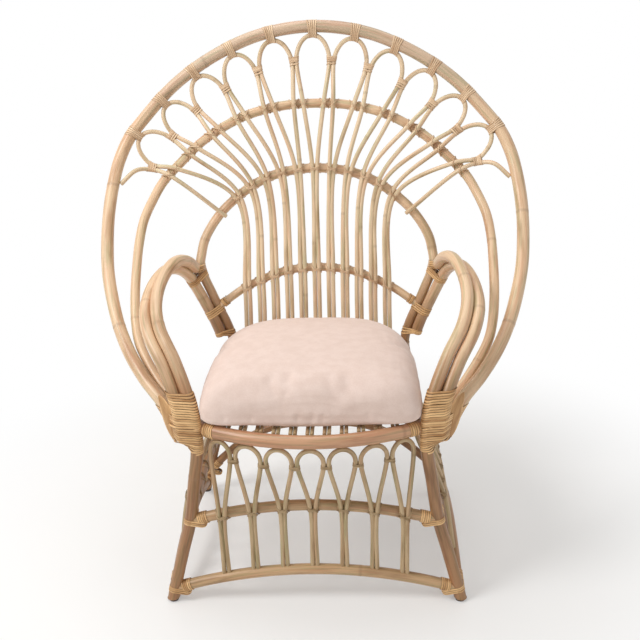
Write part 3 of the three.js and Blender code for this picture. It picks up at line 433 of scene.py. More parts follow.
def distances_along(places):
    """How far along a path each of its places lies"""
    return np.concatenate([[0], np.cumsum(np.linalg.norm(np.diff(places, axis=0), axis=1))])


def both_halves(right_half):
    """The right half's points mirrored, then the same points back from the middle to the end"""
    return Line(np.vstack([right_half * MIRROR, right_half[::-1][1:]]))


class Line:
    """A bent cane's middle line.

    It is a centripetal Catmull-Rom curve: between two points it is the cubic whose slopes at both
    come from the neighbouring points, weighed by the square roots of the distances between them.
    """

    MARKS = np.linspace(0, 1, 801)

    def __init__(self, points):
        self.points = np.asarray(points, float)
        before = 2 * self.points[0] - self.points[1]
        after = 2 * self.points[-1] - self.points[-2]
        self.padded = np.vstack([before, self.points, after])
        self.measure()

    def measure(self):
        """Keeps the line's places at its marks and how far along the line each of them lies"""
        self.marked = self.at(self.MARKS)
        self.distances = distances_along(self.marked)
        self.length = self.distances[-1]

    def at(self, part):
        """Places at parts of the line from 0 to 1"""
        spans = len(self.points) - 1
        place = np.clip(part, 0, 1) * spans
        piece = np.minimum(np.asarray(place).astype(int), spans - 1)
        t = np.asarray(place - piece)[..., None]
        p0, p1, p2, p3 = (self.padded[piece + i] for i in range(4))
        pairs = ((p0, p1), (p1, p2), (p2, p3))
        d0, d1, d2 = (np.linalg.norm(b - a, axis=-1, keepdims=True) ** 0.5 for a, b in pairs)
        leave = (p2 - p1) + d1 * ((p1 - p0) / d0 - (p2 - p0) / (d0 + d1))
        arrive = (p2 - p1) + d1 * ((p3 - p2) / d2 - (p3 - p1) / (d1 + d2))
        square = 3 * (p2 - p1) - 2 * leave - arrive
        cube = 2 * (p1 - p2) + leave + arrive
        return p1 + leave * t + square * t**2 + cube * t**3

    def along(self, part):
        """Direction of the line at parts of it"""
        step = 1e-4
        return unit(self.at(np.clip(part + step, 0, 1)) - self.at(np.clip(part - step, 0, 1)))

    def part_of(self, distance):
        """Parts of the line that lie at distances from its start"""
        return np.interp(distance, self.distances, self.MARKS)

    def distance_of(self, part):
        """Distances from the line's start at parts of it"""
        return np.interp(part, self.MARKS, self.distances)

    def from_middle(self, distance):
        """Part of a symmetric line at a distance from its middle, positive to the right"""
        return self.part_of(self.length / 2 + distance)

    def part_where(self, axis, value, low=0.0, high=1.0):
        """Part at which one coordinate has a value, where that coordinate only grows or only falls"""
        parts = np.linspace(low, high, 801)
        places = self.at(parts)[:, axis]
        if places[-1] < places[0]:
            parts, places = parts[::-1], places[::-1]
        return np.interp(value, places, parts)

    def nearest(self, target):
        """Part of the line that lies nearest a place"""
        return self.MARKS[np.argmin(np.linalg.norm(self.marked - target, axis=1))]


class Arch(Line):
    """A straight or arched cane between two places: a parabola with a given rise and bow"""

    def __init__(self, start, end, rise=0.0, bow=0.0):
        self.start, self.end = np.asarray(start, float), np.asarray(end, float)
        self.control = mix(self.start, self.end, 0.5) + np.array([0, 2 * bow, 2 * rise])
        self.measure()

    def at(self, part):
        """Places at parts of the arch from 0 to 1"""
        t = np.asarray(np.clip(part, 0, 1), float)[..., None]
        return self.start * (1 - t) ** 2 + 2 * self.control * t * (1 - t) + self.end * t**2


class Cane:
    """A round cane along a line"""

    def __init__(self, line, radius):
        self.line = line
        self.radius = radius

    def stretch(self, part, reach):
        """Both ends of a stretch that reaches equally far to both sides of one part"""
        middle = self.line.distance_of(part)
        return self.line.part_of(middle - reach / 2), self.line.part_of(middle + reach / 2)


class Chair:
    """Every line of the chair, worked out from its sizes, before the shift that centres it"""

    def __init__(self, sizes):
        self.sizes = sizes
        self.canes, self.seat, self.back = sizes.canes, sizes.seat, sizes.back
        self.seat_level = self.seat.rail_height + self.canes.front_rail
        self.rail_level = self.seat_level - self.canes.seat_rail
        self.rear_half = self.seat.front_half - self.seat.taper
        self.middle_half = self.back.outer_half - self.back.middle_inset
        self.arm_half = self.middle_half - self.back.arm_inset
        self.make_frame()
        self.make_arms()
        self.make_hoops()
        self.make_rails()
        self.make_stretchers()
        foot = self.front_pole.line.at(self.leg_part(self.seat.glide_height))
        low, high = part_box("front_glide_right")
        self.shift = np.array([0, (low[1] + high[1]) / 2 - foot[1], 0])

    def make_frame(self):
        """Back frame: a foot, the rear leg, the back post, over the back and down again"""
        seat, back = self.seat, self.back
        upright = (seat.depth, seat.depth)
        leaning = (seat.depth, seat.depth + back.frame_lean)
        bowed = (seat.depth, seat.depth + back.lumbar_bow)
        to_rail, to_bend = (seat.glide_height, seat.rail_height), (seat.rail_height, back.bend_height)
        leg = spread(REAR_LEG_SHARES, (self.rear_half, seat.rear_foot), upright, to_rail)
        post = spread(BACK_POST_SHARES, (self.rear_half, back.bend_half), upright, to_bend)
        hoop = spread(BACK_HOOP_SHARES, (0, back.bend_half), leaning, (back.bend_height, back.frame_top))
        self.frame = Cane(both_halves(np.vstack([leg, post, hoop])), self.canes.back_frame)
        self.post_end = (len(leg) + len(post)) / (len(self.frame.line.points) - 1)
        arching = (back.lumbar_height, back.lumbar_height + back.lumbar_rise)
        lumbar = spread(LUMBAR_SHARES, (0, self.post_point(back.lumbar_height)[0]), bowed, arching)
        self.lumbar = Cane(both_halves(lumbar), self.canes.lumbar)

    def post_part(self, height, sign=-1):
        """Part of the back frame at a height on its leg or post, on one side"""
        left = self.frame.line.part_where(2, height, 0, self.post_end)
        return left if sign < 0 else 1 - left

    def post_point(self, height, sign=1):
        """Place on the rear leg or back post at a height"""
        return self.frame.line.at(self.post_part(height, sign))

    def make_arms(self):
        """Front poles, each a leg and the inner arm, and the outer arm that lies beside it"""
        seat, canes = self.seat, self.canes
        leg = spread(
            FRONT_LEG_SHARES,
            (seat.front_half, seat.front_foot),
            (0, -seat.foot_forward),
            (seat.glide_height, seat.rail_height),
        )
        arm = spread(
            INNER_ARM_SHARES,
            (seat.front_half, self.arm_half),
            (0, seat.depth - canes.back_frame - canes.arm),
            (seat.rail_height, self.back.arm_top),
        )
        post_spacing = canes.back_frame + canes.arm + canes.touch
        end = self.post_point(self.back.bend_height) + np.array(ARM_END_SHARES) * post_spacing
        self.front_pole = Cane(Line(np.vstack([leg, arm, end])), canes.arm)
        pole = self.front_pole.line
        self.leg_end = len(leg) / (len(pole.points) - 1)
        parts = (len(leg) + np.arange(len(arm))) / (len(pole.points) - 1)
        along = pole.along(parts)
        away = np.array(BESIDE_ARM_SHARES, float)
        away -= (away * along).sum(axis=1, keepdims=True) * along
        beside_arm = arm + unit(away) * (2 * canes.arm + canes.touch)
        heights = mix(seat.rail_height, self.back.bend_height, np.array(BESIDE_POST_SHARES)[:, 0])
        offsets = np.array([(across, back, 0) for _, across, back in BESIDE_POST_SHARES])
        beside_post = np.array([self.post_point(height) for height in heights]) + offsets * post_spacing
        self.corner = np.array([seat.front_half, 0, seat.rail_height - self.back.tail_drop])
        start = self.corner + np.array([2 * canes.arm + canes.touch, 0, 0])
        self.outer_arm = Cane(Line(np.vstack([start, beside_arm, beside_post])), canes.arm)

    def leg_part(self, height):
        """Part of a front pole at a height on its leg"""
        return self.front_pole.line.part_where(2, height, 0, self.leg_end)

    def leg_point(self, height, sign=1):
        """Place on a front leg at a height"""
        place = self.front_pole.line.at(self.leg_part(height))
        return place if sign > 0 else place * MIRROR

    def make_hoops(self):
        """Middle and outer hoop, each from the corners out and back and then over"""
        canes, back = self.canes, self.back
        middle_start = self.corner + np.array([canes.arm, canes.arm + canes.middle_hoop + canes.touch, 0])
        outer_start = middle_start + np.array(
            [canes.middle_hoop + canes.outer_hoop + canes.touch, canes.outer_hoop / 2, 0]
        )
        self.middle_hoop = Cane(
            self.hoop_line(
                middle_start,
                (self.middle_half, back.middle_widest_back, back.middle_widest),
                (back.middle_back, back.middle_top),
                MIDDLE_FLARE_SHARES,
                MIDDLE_CROWN_SHARES,
            ),
            canes.middle_hoop,
        )
        self.outer_hoop = Cane(
            self.hoop_line(
                outer_start,
                (back.outer_half, back.outer_widest_back, back.outer_widest),
                (back.outer_back, back.outer_top),
                OUTER_FLARE_SHARES,
                OUTER_CROWN_SHARES,
            ),
            canes.outer_hoop,
        )

    def hoop_line(self, start, widest, top, flare_shares, crown_shares):
        """A hoop through its start, its widest place, and the depth and height of its top"""
        flare = mix(start, np.array(widest), np.array(flare_shares, float))
        crown = spread(crown_shares, (0, widest[0]), (widest[1], top[0]), (widest[2], top[1]))
        return both_halves(np.vstack([flare, crown]))

    def make_rails(self):
        """Front rail, side rails and rear rail"""
        seat, canes = self.seat, self.canes
        reach = seat.front_half - canes.arm / 2
        ends = [np.array([sign * reach, seat.rail_setback, seat.rail_height]) for sign in (-1, 1)]
        self.front_rail = Cane(Arch(*ends, bow=-seat.rail_bow), canes.front_rail)
        front = np.array([seat.front_half - seat.side_inset, seat.rail_setback, self.rail_level])
        rear = np.array([self.rear_half, seat.depth, self.rail_level])
        self.side_rail = Cane(Arch(front, rear), canes.seat_rail)
        self.rear_rail = Cane(Arch(rear * MIRROR, rear), canes.seat_rail)

    def make_stretchers(self):
        """Stretchers between the legs, and the arch between the rear legs"""
        sizes, canes = self.sizes.stretchers, self.canes
        middle = [self.leg_point(sizes.front_middle, sign) for sign in (-1, 1)]
        bottom = [self.leg_point(sizes.bottom, sign) for sign in (-1, 1)]
        self.front_middle = Cane(Arch(*middle, rise=sizes.front_middle_rise), canes.stretcher)
        self.front_bottom = Cane(Arch(*bottom, rise=sizes.bottom_rise), canes.stretcher)
        side_rear = self.post_point(sizes.side_rear)
        self.side_middle = Cane(Arch(middle[1], side_rear, rise=sizes.side_rise), canes.stretcher)
        bottom_rear = self.post_point(sizes.bottom)
        self.side_bottom = Cane(Arch(bottom[1], bottom_rear, rise=sizes.bottom_rise), canes.stretcher)
        arch = spread(
            REAR_ARCH_SHARES,
            (0, self.post_point(sizes.arch_foot)[0]),
            (self.seat.depth, self.seat.depth),
            (sizes.arch_foot, sizes.arch_foot + sizes.arch_rise),
        )
        self.rear_arch = Cane(both_halves(arch), canes.rear_arch)

    def against(self, cane, part, direction, radius, outward=FORWARD):
        """Middle of a thinner cane that lies on a cane's surface and crosses it in a direction"""
        away = unit(np.cross(cane.line.along(part), direction))
        away = away if away @ outward > 0 else -away
        return cane.line.at(part) + away * (cane.radius + radius + self.canes.cross)


def mirrored_line(line):
    """The same line on the other side of the chair"""
    if isinstance(line, Arch):
        other = Arch(line.start * MIRROR, line.end * MIRROR)
        other.control = line.control * MIRROR
        other.measure()
        return other
    return Line(line.points * MIRROR)


def on_side(cane, sign):
    """A cane that is given on the right, on the side asked for"""
    return cane if sign > 0 else Cane(mirrored_line(cane.line), cane.radius)


class Fan:
    """The looped canes of the back. Places are counted from the middle, and lashings lie at the halves."""

    def __init__(self, chair):
        self.chair = chair
        self.sizes = chair.sizes.fan
        self.radius = chair.canes.fan
        self.pair_half = self.radius + chair.canes.touch
        self.span = (self.sizes.loops - 1) / 2
        self.front = chair.seat.depth - chair.canes.seat_rail - self.radius - chair.canes.touch
        self.seat_pitch = (chair.rear_half - self.sizes.side_room) / self.span
        self.crown_pitch = chair.outer_hoop.line.length * self.sizes.crown_pitch
        self.middle_pitch = chair.middle_hoop.line.length * self.sizes.middle_pitch
        self.stand_off = chair.canes.outer_hoop + self.radius + chair.canes.touch
        self.loops = [self.loop(i - self.span) for i in range(self.sizes.loops)]
        self.row = [self.half_cane(-1), *self.loops, self.half_cane(1)]

    def lashed(self):
        """Each lashing's place with the two neighbouring canes that it ties, from left to right"""
        return [(i - 0.5 - self.span, pair) for i, pair in enumerate(zip(self.row, self.row[1:]))]

    def round_hoop(self, place):
        """Distance round the outer hoop from its top to a crown or lashing"""
        past = np.sign(place) * self.sizes.end_lashing if abs(place) > self.span else 0
        return self.crown_pitch * (place + past)

    def hoop_point(self, place, further=0.0):
        """Place on the outer hoop's middle line"""
        line = self.chair.outer_hoop.line
        return line.at(line.from_middle(self.round_hoop(place) + further))

    def inward(self, place):
        """Direction from the outer hoop to the like place on the middle hoop"""
        line = self.chair.middle_hoop.line
        return unit(line.at(line.from_middle(place * self.middle_pitch)) - self.hoop_point(place))

    def spoke(self, place, distance):
        """Direction from a place on the back frame out to the outer hoop"""
        line = self.chair.frame.line
        return self.hoop_point(place) - line.at(line.from_middle(distance))

    def lumbar_cross(self, place, shift):
        """Where a cane crosses the lumbar rail"""
        part = self.chair.lumbar.line.part_where(0, place * self.seat_pitch + shift)
        return self.chair.against(self.chair.lumbar, part, UPWARD, self.radius)

    def inner_cross(self, distance, place):
        """Where a cane crosses the back frame"""
        part = self.chair.frame.line.from_middle(distance)
        return self.chair.against(self.chair.frame, part, self.spoke(place, distance), self.radius)

    def middle_cross(self, lashing, split):
        """Where a cane crosses the middle hoop"""
        part = self.chair.middle_hoop.line.from_middle(lashing * self.middle_pitch + split)
        direction = self.spoke(lashing, lashing * self.sizes.inner_pitch)
        return self.chair.against(self.chair.middle_hoop, part, direction, self.radius)

    def lashing_point(self, lashing, shift):
        """Where a cane's middle passes a lashing"""
        reach = 0.02
        along = self.hoop_point(lashing, reach) - self.hoop_point(lashing, -reach)
        on_hoop = self.hoop_point(lashing) + self.inward(lashing) * self.sizes.lashing_depth
        return on_hoop + unit(along) * shift

    def crown_point(self, place):
        """Middle of a loop's crown, under the outer hoop"""
        return self.hoop_point(place) + self.inward(place) * self.stand_off

    def leg(self, place, sign):
        """One leg of a loop, from behind the cushion up to its lashing"""
        shift = sign * self.pair_half
        lashing = place + sign / 2
        across = place * self.seat_pitch + shift
        return np.array([
            (across, self.front, self.chair.rail_level - self.sizes.tail),
            (across, self.front, self.chair.rail_level),
            self.lumbar_cross(place, shift),
            self.inner_cross(place * self.sizes.inner_pitch + shift, place),
            self.middle_cross(lashing, -sign * self.sizes.middle_split),
            self.lashing_point(lashing, -sign * self.pair_half),
        ])

    def loop(self, place):
        """A loop: up one leg, round its arch and down the other leg"""
        left, right = self.leg(place, -1), self.leg(place, 1)
        return Cane(looped_line(left, right, self.crown_point(place), pieces=7), self.radius)

    def half_cane(self, sign):
        """A cane that closes an end of the fan: from the outer hoop past the last lashing to the frame"""
        lashing = sign * (self.span + 0.5)
        on_hoop = self.hoop_point(lashing, sign * self.sizes.half_reach)
        leave = on_hoop + self.inward(lashing) * self.stand_off
        bound = self.lashing_point(lashing, sign * self.pair_half)
        above = mix(leave, bound, 0.5) + UPWARD * self.sizes.half_lift
        on_middle = self.middle_cross(lashing, sign * self.sizes.middle_split)
        on_frame = self.inner_cross(sign * self.sizes.half_inner, lashing)
        tail = on_frame + unit(on_frame - on_middle) * self.sizes.tail
        leave += unit(leave - above) * self.sizes.half_end
        return Cane(Line([leave, above, bound, on_middle, on_frame, tail]), self.radius)


def looped_line(left, right, crown, pieces):
    """Up the left leg, round half an ellipse through the crown, and down the right leg"""
    base = mix(left[-1], right[-1], 0.5)
    angles = np.pi * np.arange(1, pieces)[:, None] / pieces
    arch = base - np.cos(angles) * (right[-1] - base) + np.sin(angles) * (crown - base)
    return Line(np.vstack([left, arch, right[::-1]]))


class Apron:
    """Loops that hang under a rail, cross a middle stretcher and stand on a bottom stretcher"""

    def __init__(self, chair, axis, rail, middle, bottom, outward, edges, feet, half, pieces):
        self.chair, self.axis, self.rail = chair, axis, rail
        self.middle, self.bottom, self.outward = middle, bottom, outward
        self.edges, self.feet, self.half = edges, feet, half
        self.radius = chair.canes.apron
        self.drop = rail.radius + self.radius + chair.canes.touch
        self.loops = [self.loop(i, pieces) for i in range(len(feet))]

    def on(self, cane, place):
        """Place on a cane's middle line at a place along the apron"""
        return cane.line.at(cane.line.part_where(self.axis, place))

    def under(self, place, distance):
        """Place under the rail"""
        return self.on(self.rail, place) - UPWARD * distance

    def springing(self, i, sign):
        """Where a loop's arch springs from its leg"""
        top = self.under(self.edges[i + (sign > 0)], self.drop + self.chair.sizes.apron.lashing_drop)
        top[self.axis] -= sign * self.half
        return top

    def crossing(self, i, sign):
        """Where a leg crosses the middle stretcher"""
        part = self.middle.line.part_where(self.axis, self.feet[i] + sign * self.half)
        return self.chair.against(self.middle, part, UPWARD, self.radius, self.outward)

    def loop(self, i, pieces):
        """A loop: up from the bottom stretcher, over the middle one, round its arch and down again"""
        left, right = (
            np.array([
                self.on(self.bottom, self.feet[i] + sign * self.half),
                self.crossing(i, sign),
                self.springing(i, sign),
            ])
            for sign in (-1, 1)
        )
        crown = self.under((self.edges[i] + self.edges[i + 1]) / 2, self.drop)
        return Cane(looped_line(left, right, crown, pieces), self.radius)

    def tie_point(self, i):
        """Where loop i is tied to the next one: just below the points where their arches spring"""
        meeting = mix(self.springing(i, 1), self.springing(i + 1, -1), 0.5)
        return meeting - UPWARD * self.chair.sizes.apron.tie_drop


def front_apron(chair):
    """The apron between the front legs. Its end loops stand against the corner bindings."""
    sizes, canes = chair.sizes.apron, chair.canes
    half = chair.seat.front_half - canes.arm - sizes.end_room - canes.apron - canes.touch
    places = np.arange(sizes.front_loops) - (sizes.front_loops - 1) / 2
    edges = np.concatenate([[-half], (places[1:] - 0.5) * sizes.front_pitch, [half]])
    return Apron(
        chair,
        axis=0,
        rail=chair.front_rail,
        middle=chair.front_middle,
        bottom=chair.front_bottom,
        outward=FORWARD,
        edges=edges,
        feet=places * sizes.front_pitch,
        half=canes.apron + canes.touch,
        pieces=6,
    )


def side_apron(chair, sign):
    """The apron between a front and a rear leg"""
    sizes, canes = chair.sizes.apron, chair.canes
    end = chair.seat.depth - canes.back_frame - canes.apron - canes.touch
    edges = np.linspace(sizes.side_start, end, sizes.side_loops + 1)
    return Apron(
        chair,
        axis=1,
        rail=on_side(chair.side_rail, sign),
        middle=on_side(chair.side_middle, sign),
        bottom=on_side(chair.side_bottom, sign),
        outward=np.array([sign, 0, 0]),
        edges=edges,
        feet=(edges[1:] + edges[:-1]) / 2,
        half=canes.apron - sizes.side_merge,
        pieces=5,
    )


class Surface:
    """Faces gathered for one piece, and what its finish reads at each vertex.

    grain holds the distance along the cane or strip and the place across it, tone holds how dark a
    cane or a turn is, and mark is 1 at a cane's joints and along a strip's edges.
    """

    def __init__(self):
        self.places, self.grain, self.tone, self.mark = [], [], [], []
        self.quads, self.triangles = [], []
        self.count = 0

    def add(self, rows, grain, tone, mark):
        """A closed tube through rows of places: quads between them and a fan of triangles at each end"""
        rings, around = rows.shape[:2]
        index = self.count + np.arange(rings * around).reshape(rings, around)
        following = np.roll(index, -1, axis=1)
        quads = np.stack([index[:-1], following[:-1], following[1:], index[1:]], axis=-1)
        first = np.full(around, self.count + rings * around)
        last = first + 1
        self.quads.append(quads.reshape(-1, 4))
        self.triangles.append(np.stack([first, following[0], index[0]], axis=-1))
        self.triangles.append(np.stack([last, index[-1], following[-1]], axis=-1))
        stores = {"places": rows, "grain": grain, "tone": tone, "mark": mark}
        for name, values in stores.items():
            flat = values.reshape(rings * around, *values.shape[2:])
            ends = np.stack([values[0].mean(axis=0), values[-1].mean(axis=0)])
            getattr(self, name).append(np.concatenate([flat, ends]))
        self.count += rings * around + 2

    def make(self, name, chair, finish, slot, *nodes):
        """The piece as an object that rides on the chair and stands for its CAD nodes"""
        quads, triangles = np.vstack(self.quads), np.vstack(self.triangles)
        corners = np.concatenate([quads.ravel(), triangles.ravel()])
        starts = np.concatenate([np.arange(len(quads)) * 4, quads.size + np.arange(len(triangles)) * 3])
        mesh = bpy.data.meshes.new(name)
        mesh.vertices.add(self.count)
        mesh.loops.add(len(corners))
        mesh.polygons.add(len(starts))
        places = np.vstack(self.places) + chair.shift
        mesh.vertices.foreach_set("co", places.astype(np.float32).ravel())
        mesh.loops.foreach_set("vertex_index", corners.astype(np.int32))
        mesh.polygons.foreach_set("loop_start", starts.astype(np.int32))
        mesh.update(calc_edges=True)
        for title, kind, values, each in (
            ("grain", "FLOAT_VECTOR", self.grain, "vector"),
            ("tone", "FLOAT", self.tone, "value"),
            ("mark", "FLOAT", self.mark, "value"),
        ):
            held = mesh.attributes.new(title, kind, "POINT")
            held.data.foreach_set(each, np.concatenate(values).astype(np.float32).ravel())
        mesh.shade_smooth()
        return place_piece(mesh, finish, slot, *nodes)


def place_piece(mesh, finish, slot, *nodes):
    """Links a mesh as an object that rides on the chair's one body and stands for its CAD nodes"""
    piece = bpy.data.objects.new(mesh.name, mesh)
    bpy.context.scene.collection.objects.link(piece)
    mesh.materials.append(finish)
    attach(piece, "root")
    if nodes:
        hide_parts(*nodes)
    return piece


def rings_along(places):
    """Two directions square to a path at each of its places, turned as little as the path allows.

    The first is the path's direction crossed with the axis that it follows least.
    """
    along = unit(np.gradient(places, axis=0))
    reference = np.eye(3)[np.argmin(np.abs(along).max(axis=0))]
    side = unit(np.cross(reference, along))
    return side, np.cross(along, side)


# The natural joints of a cane, in metres: the way to the next, half a joint's length and the rings round it
JOINTS_APART = (0.28, 0.48)
MOST_JOINTS = 12
JOINT_LENGTH = 0.0045
JOINT_RINGS = np.array([-0.006, -0.003, 0, 0.003, 0.006, 0.009])
# Waves along a cane in metres, two of its radius and one of its tone
LONG_WAVE, SHORT_WAVE, TONE_WAVE = 0.05, 0.021, 0.09
# Shares of a cane's radius: its waves, the swelling of a joint, the hollow behind it and its oval section
WANDER, SWELLING, HOLLOW, OVAL = 0.009, 0.024, 0.012, 0.012
# A cane's cut end is rounded over one share of its radius and drawn in by another
EDGE_LENGTH, EDGE_DRAW = 0.35, 0.3
LEAST_RING_GAP = 2e-4
# Each cane and strip reads its grain from another stretch, this much further along for each seed
CANE_GRAIN_STEP, STRIP_GRAIN_STEP = 3.7, 1.3


def cane_rings(first, last, edge, joints, ring_gap):
    """How far along a cane its rings lie: evenly, and closer together at its ends and joints"""
    edge_rows = edge * np.array([0, 0.15, 0.5])
    inner = np.linspace(first + edge, last - edge, max(6, int((last - first) / ring_gap)))
    at_joints = (joints[:, None] + JOINT_RINGS).ravel()
    at_joints = at_joints[(at_joints > first + edge) & (at_joints < last - edge)]
    distance = np.sort(np.concatenate([first + edge_rows, inner, at_joints, last - edge_rows]))
    return distance[np.concatenate([[True], np.diff(distance) > LEAST_RING_GAP])]


def add_cane(surface, cane, seed, ring_gap=0.006, around=16, floor=None):
    """A round cane: a circle carried along the line.

    The radius wanders by a hundredth in two slow waves, swells a little at each natural joint of the
    cane and draws in behind it, and the cut ends have a rounded edge. Below a given floor the cane is
    cut flat.
    """
    chance = np.random.default_rng(seed)
    line, radius = cane.line, cane.radius
    first, last = line.distance_of(0.0), line.distance_of(1.0)
    edge = EDGE_LENGTH * radius
    joints = first + np.cumsum(chance.uniform(*JOINTS_APART, MOST_JOINTS))
    joints = joints[joints < last - 2 * radius]
    distance = cane_rings(first, last, edge, joints, ring_gap)
    from_end = np.minimum(distance - first, last - distance) / edge
    rounding = np.sqrt(np.clip(1 - (1 - np.clip(from_end, 0, 1)) ** 2, 0, 1)) * EDGE_DRAW + 1 - EDGE_DRAW
    waves = chance.uniform(0, 2 * np.pi, 4)
    wander = np.sin(distance / LONG_WAVE + waves[0]) + 0.6 * np.sin(distance / SHORT_WAVE + waves[1])
    gap = (distance[:, None] - joints) / JOINT_LENGTH
    swell = np.exp(-(gap**2)).sum(axis=1)
    behind = np.exp(-((gap - 1.8) ** 2)).sum(axis=1)
    reach = radius * rounding * (1 + WANDER * wander + SWELLING * swell - HOLLOW * behind)
    angle = 2 * np.pi * np.arange(around) / around
    oval = 1 + OVAL * np.cos(2 * angle + waves[2])
    centre = line.at(line.part_of(distance))
    side, other = rings_along(centre)
    spoke = side[:, None] * np.cos(angle)[:, None] + other[:, None] * np.sin(angle)[:, None]
    rows = centre[:, None] + spoke * (reach[:, None] * oval)[..., None]
    if floor is not None:
        rows[..., 2] = np.maximum(rows[..., 2], floor)
    grain = np.empty(rows.shape)
    grain[..., 0] = (distance + CANE_GRAIN_STEP * seed)[:, None]
    grain[..., 1] = radius * np.cos(angle)
    grain[..., 2] = radius * np.sin(angle)
    tone = chance.uniform(0, 1) + 0.25 * np.sin(distance / TONE_WAVE + waves[3])
    tones, marks = (np.repeat(values[:, None], around, axis=1) for values in (tone, swell))
    surface.add(rows, grain, tones, marks)


# How finely the thin looped canes are made
THIN_CANE = {"around": 12, "ring_gap": 0.005}

# A strip's section from its left underside round: shares of its width and thickness, and its edge's mark
STRIP_SECTION = np.array([
    (-0.5, -0.35, 1),
    (0.5, -0.35, 1),
    (0.48, 0.5, 0.9),
    (0.3, 0.93, 0.15),
    (0, 1, 0),
    (-0.3, 0.93, 0.15),
    (-0.48, 0.5, 0.9),
])


def add_strip(surface, places, outward, width_way, width, thickness, seed, turn):
    """A flat strip of split cane: a low rounded section carried along a path.

    At each place the section's width lies along width_way, squared to the path, and its back faces
    outward. turn counts the turns along the strip, and each turn has a tone of its own.
    """
    chance = np.random.default_rng(seed)
    along = unit(np.gradient(places, axis=0))
    across = unit(width_way - (width_way * along).sum(axis=-1, keepdims=True) * along)
    up = np.cross(along, across)
    if (up * outward).sum() < 0:
        across, up = -across, -up
    v, h, edge = STRIP_SECTION.T
    narrowing = np.ones(len(places))
    narrowing[[0, -1]] = 0.5
    rows = (
        places[:, None]
        + across[:, None] * (v * width)[:, None] * narrowing[:, None, None]
        + up[:, None] * (h * thickness)[:, None]
    )
    grain = np.empty(rows.shape)
    grain[..., 0] = (distances_along(places) + STRIP_GRAIN_STEP * seed)[:, None]
    grain[..., 1] = v * width
    grain[..., 2] = h * thickness
    tones = chance.uniform(0, 1, int(turn.max()) + 3)
    tone = np.interp(turn, np.arange(len(tones)), tones)
    tones, marks = np.repeat(tone[:, None], len(v), axis=1), np.tile(edge, (len(places), 1))
    surface.add(rows, grain, tones, marks)


def between_stations(values, marks, place):
    """Vectors at places between the stations that they are given at"""
    return np.stack([np.interp(place, marks, values[:, k]) for k in range(3)], axis=-1)


class Bundle:
    """The canes that one binding ties: their middles and radii at stations along the binding.

    The binding lies in planes square to its axis. Where a cane leans from the axis, its section
    there is an ellipse, longer the way that it leans by one over the cosine of the lean.
    """

    STATIONS = 15
    LEAST_COSINE = 0.6

    def __init__(self, middles, radii, axis=None):
        self.middles, self.radii = np.asarray(middles), np.asarray(radii)
        spine = self.middles.mean(axis=0)
        along = unit(np.gradient(spine, axis=0))
        self.axis = along if axis is None else np.broadcast_to(axis, along.shape)
        self.length = np.abs((np.diff(spine, axis=0) * self.axis[:-1]).sum(axis=1)).sum()
        self.directions = unit(np.gradient(self.middles, axis=1))
        self.marks = np.linspace(0, 1, self.middles.shape[1])

    @classmethod
    def of(cls, *stretches):
        """A bundle of stretches, each a cane and the parts of its line where it starts and ends"""
        parts = [np.linspace(start, end, cls.STATIONS) for _, start, end in stretches]
        middles = [cane.line.at(part) for (cane, _, _), part in zip(stretches, parts)]
        radii = [np.full(cls.STATIONS, cane.radius) for cane, _, _ in stretches]
        return cls(middles, radii)

    def belt(self, place, angle, chosen=None):
        """Where a belt drawn tight round the canes lies, which way it faces and which cane it touches.

        In the direction of an angle the belt touches the ellipse that reaches furthest, or that of
        the chosen cane. With slip = facing . cane / cosine, the ellipse of a cane of radius r reaches
        r sqrt(1 + slip^2), at the place middle + r (facing + flat slip / cosine) / sqrt(1 + slip^2),
        where flat is the part of the cane's direction that is square to the axis.
        """
        place = np.clip(place, 0, 1)
        axis = unit(between_stations(self.axis, self.marks, place))
        reference = np.eye(3)[np.argmin(np.abs(self.axis).max(axis=0))]
        side = unit(np.cross(reference, axis))
        facing = side * np.cos(angle)[:, None] + np.cross(axis, side) * np.sin(angle)[:, None]
        touched, reach = [], []
        for middles, directions, radii in zip(self.middles, self.directions, self.radii):
            middle = between_stations(middles, self.marks, place)
            direction = unit(between_stations(directions, self.marks, place))
            radius = np.interp(place, self.marks, radii)
            cosine = (direction * axis).sum(axis=-1)
            cosine = np.copysign(np.maximum(np.abs(cosine), self.LEAST_COSINE), cosine)
            slip = (direction * facing).sum(axis=-1) / cosine
            flat = direction - (direction * axis).sum(axis=-1, keepdims=True) * axis
            stretched = np.sqrt(1 + slip**2)
            away = facing + flat * (slip / cosine)[:, None]
            touched.append(middle + away * (radius / stretched)[:, None])
            reach.append((middle * facing).sum(axis=-1) + radius * stretched)
        if chosen is None:
            chosen = np.argmax(reach, axis=0)
        return np.stack(touched)[chosen, np.arange(len(place))], facing, chosen


# How unevenly the turns of a winding lie, as a share of the strip's width, and where its seeds start
UNEVEN_TURNS = 0.06
WINDING_SEEDS = 4000


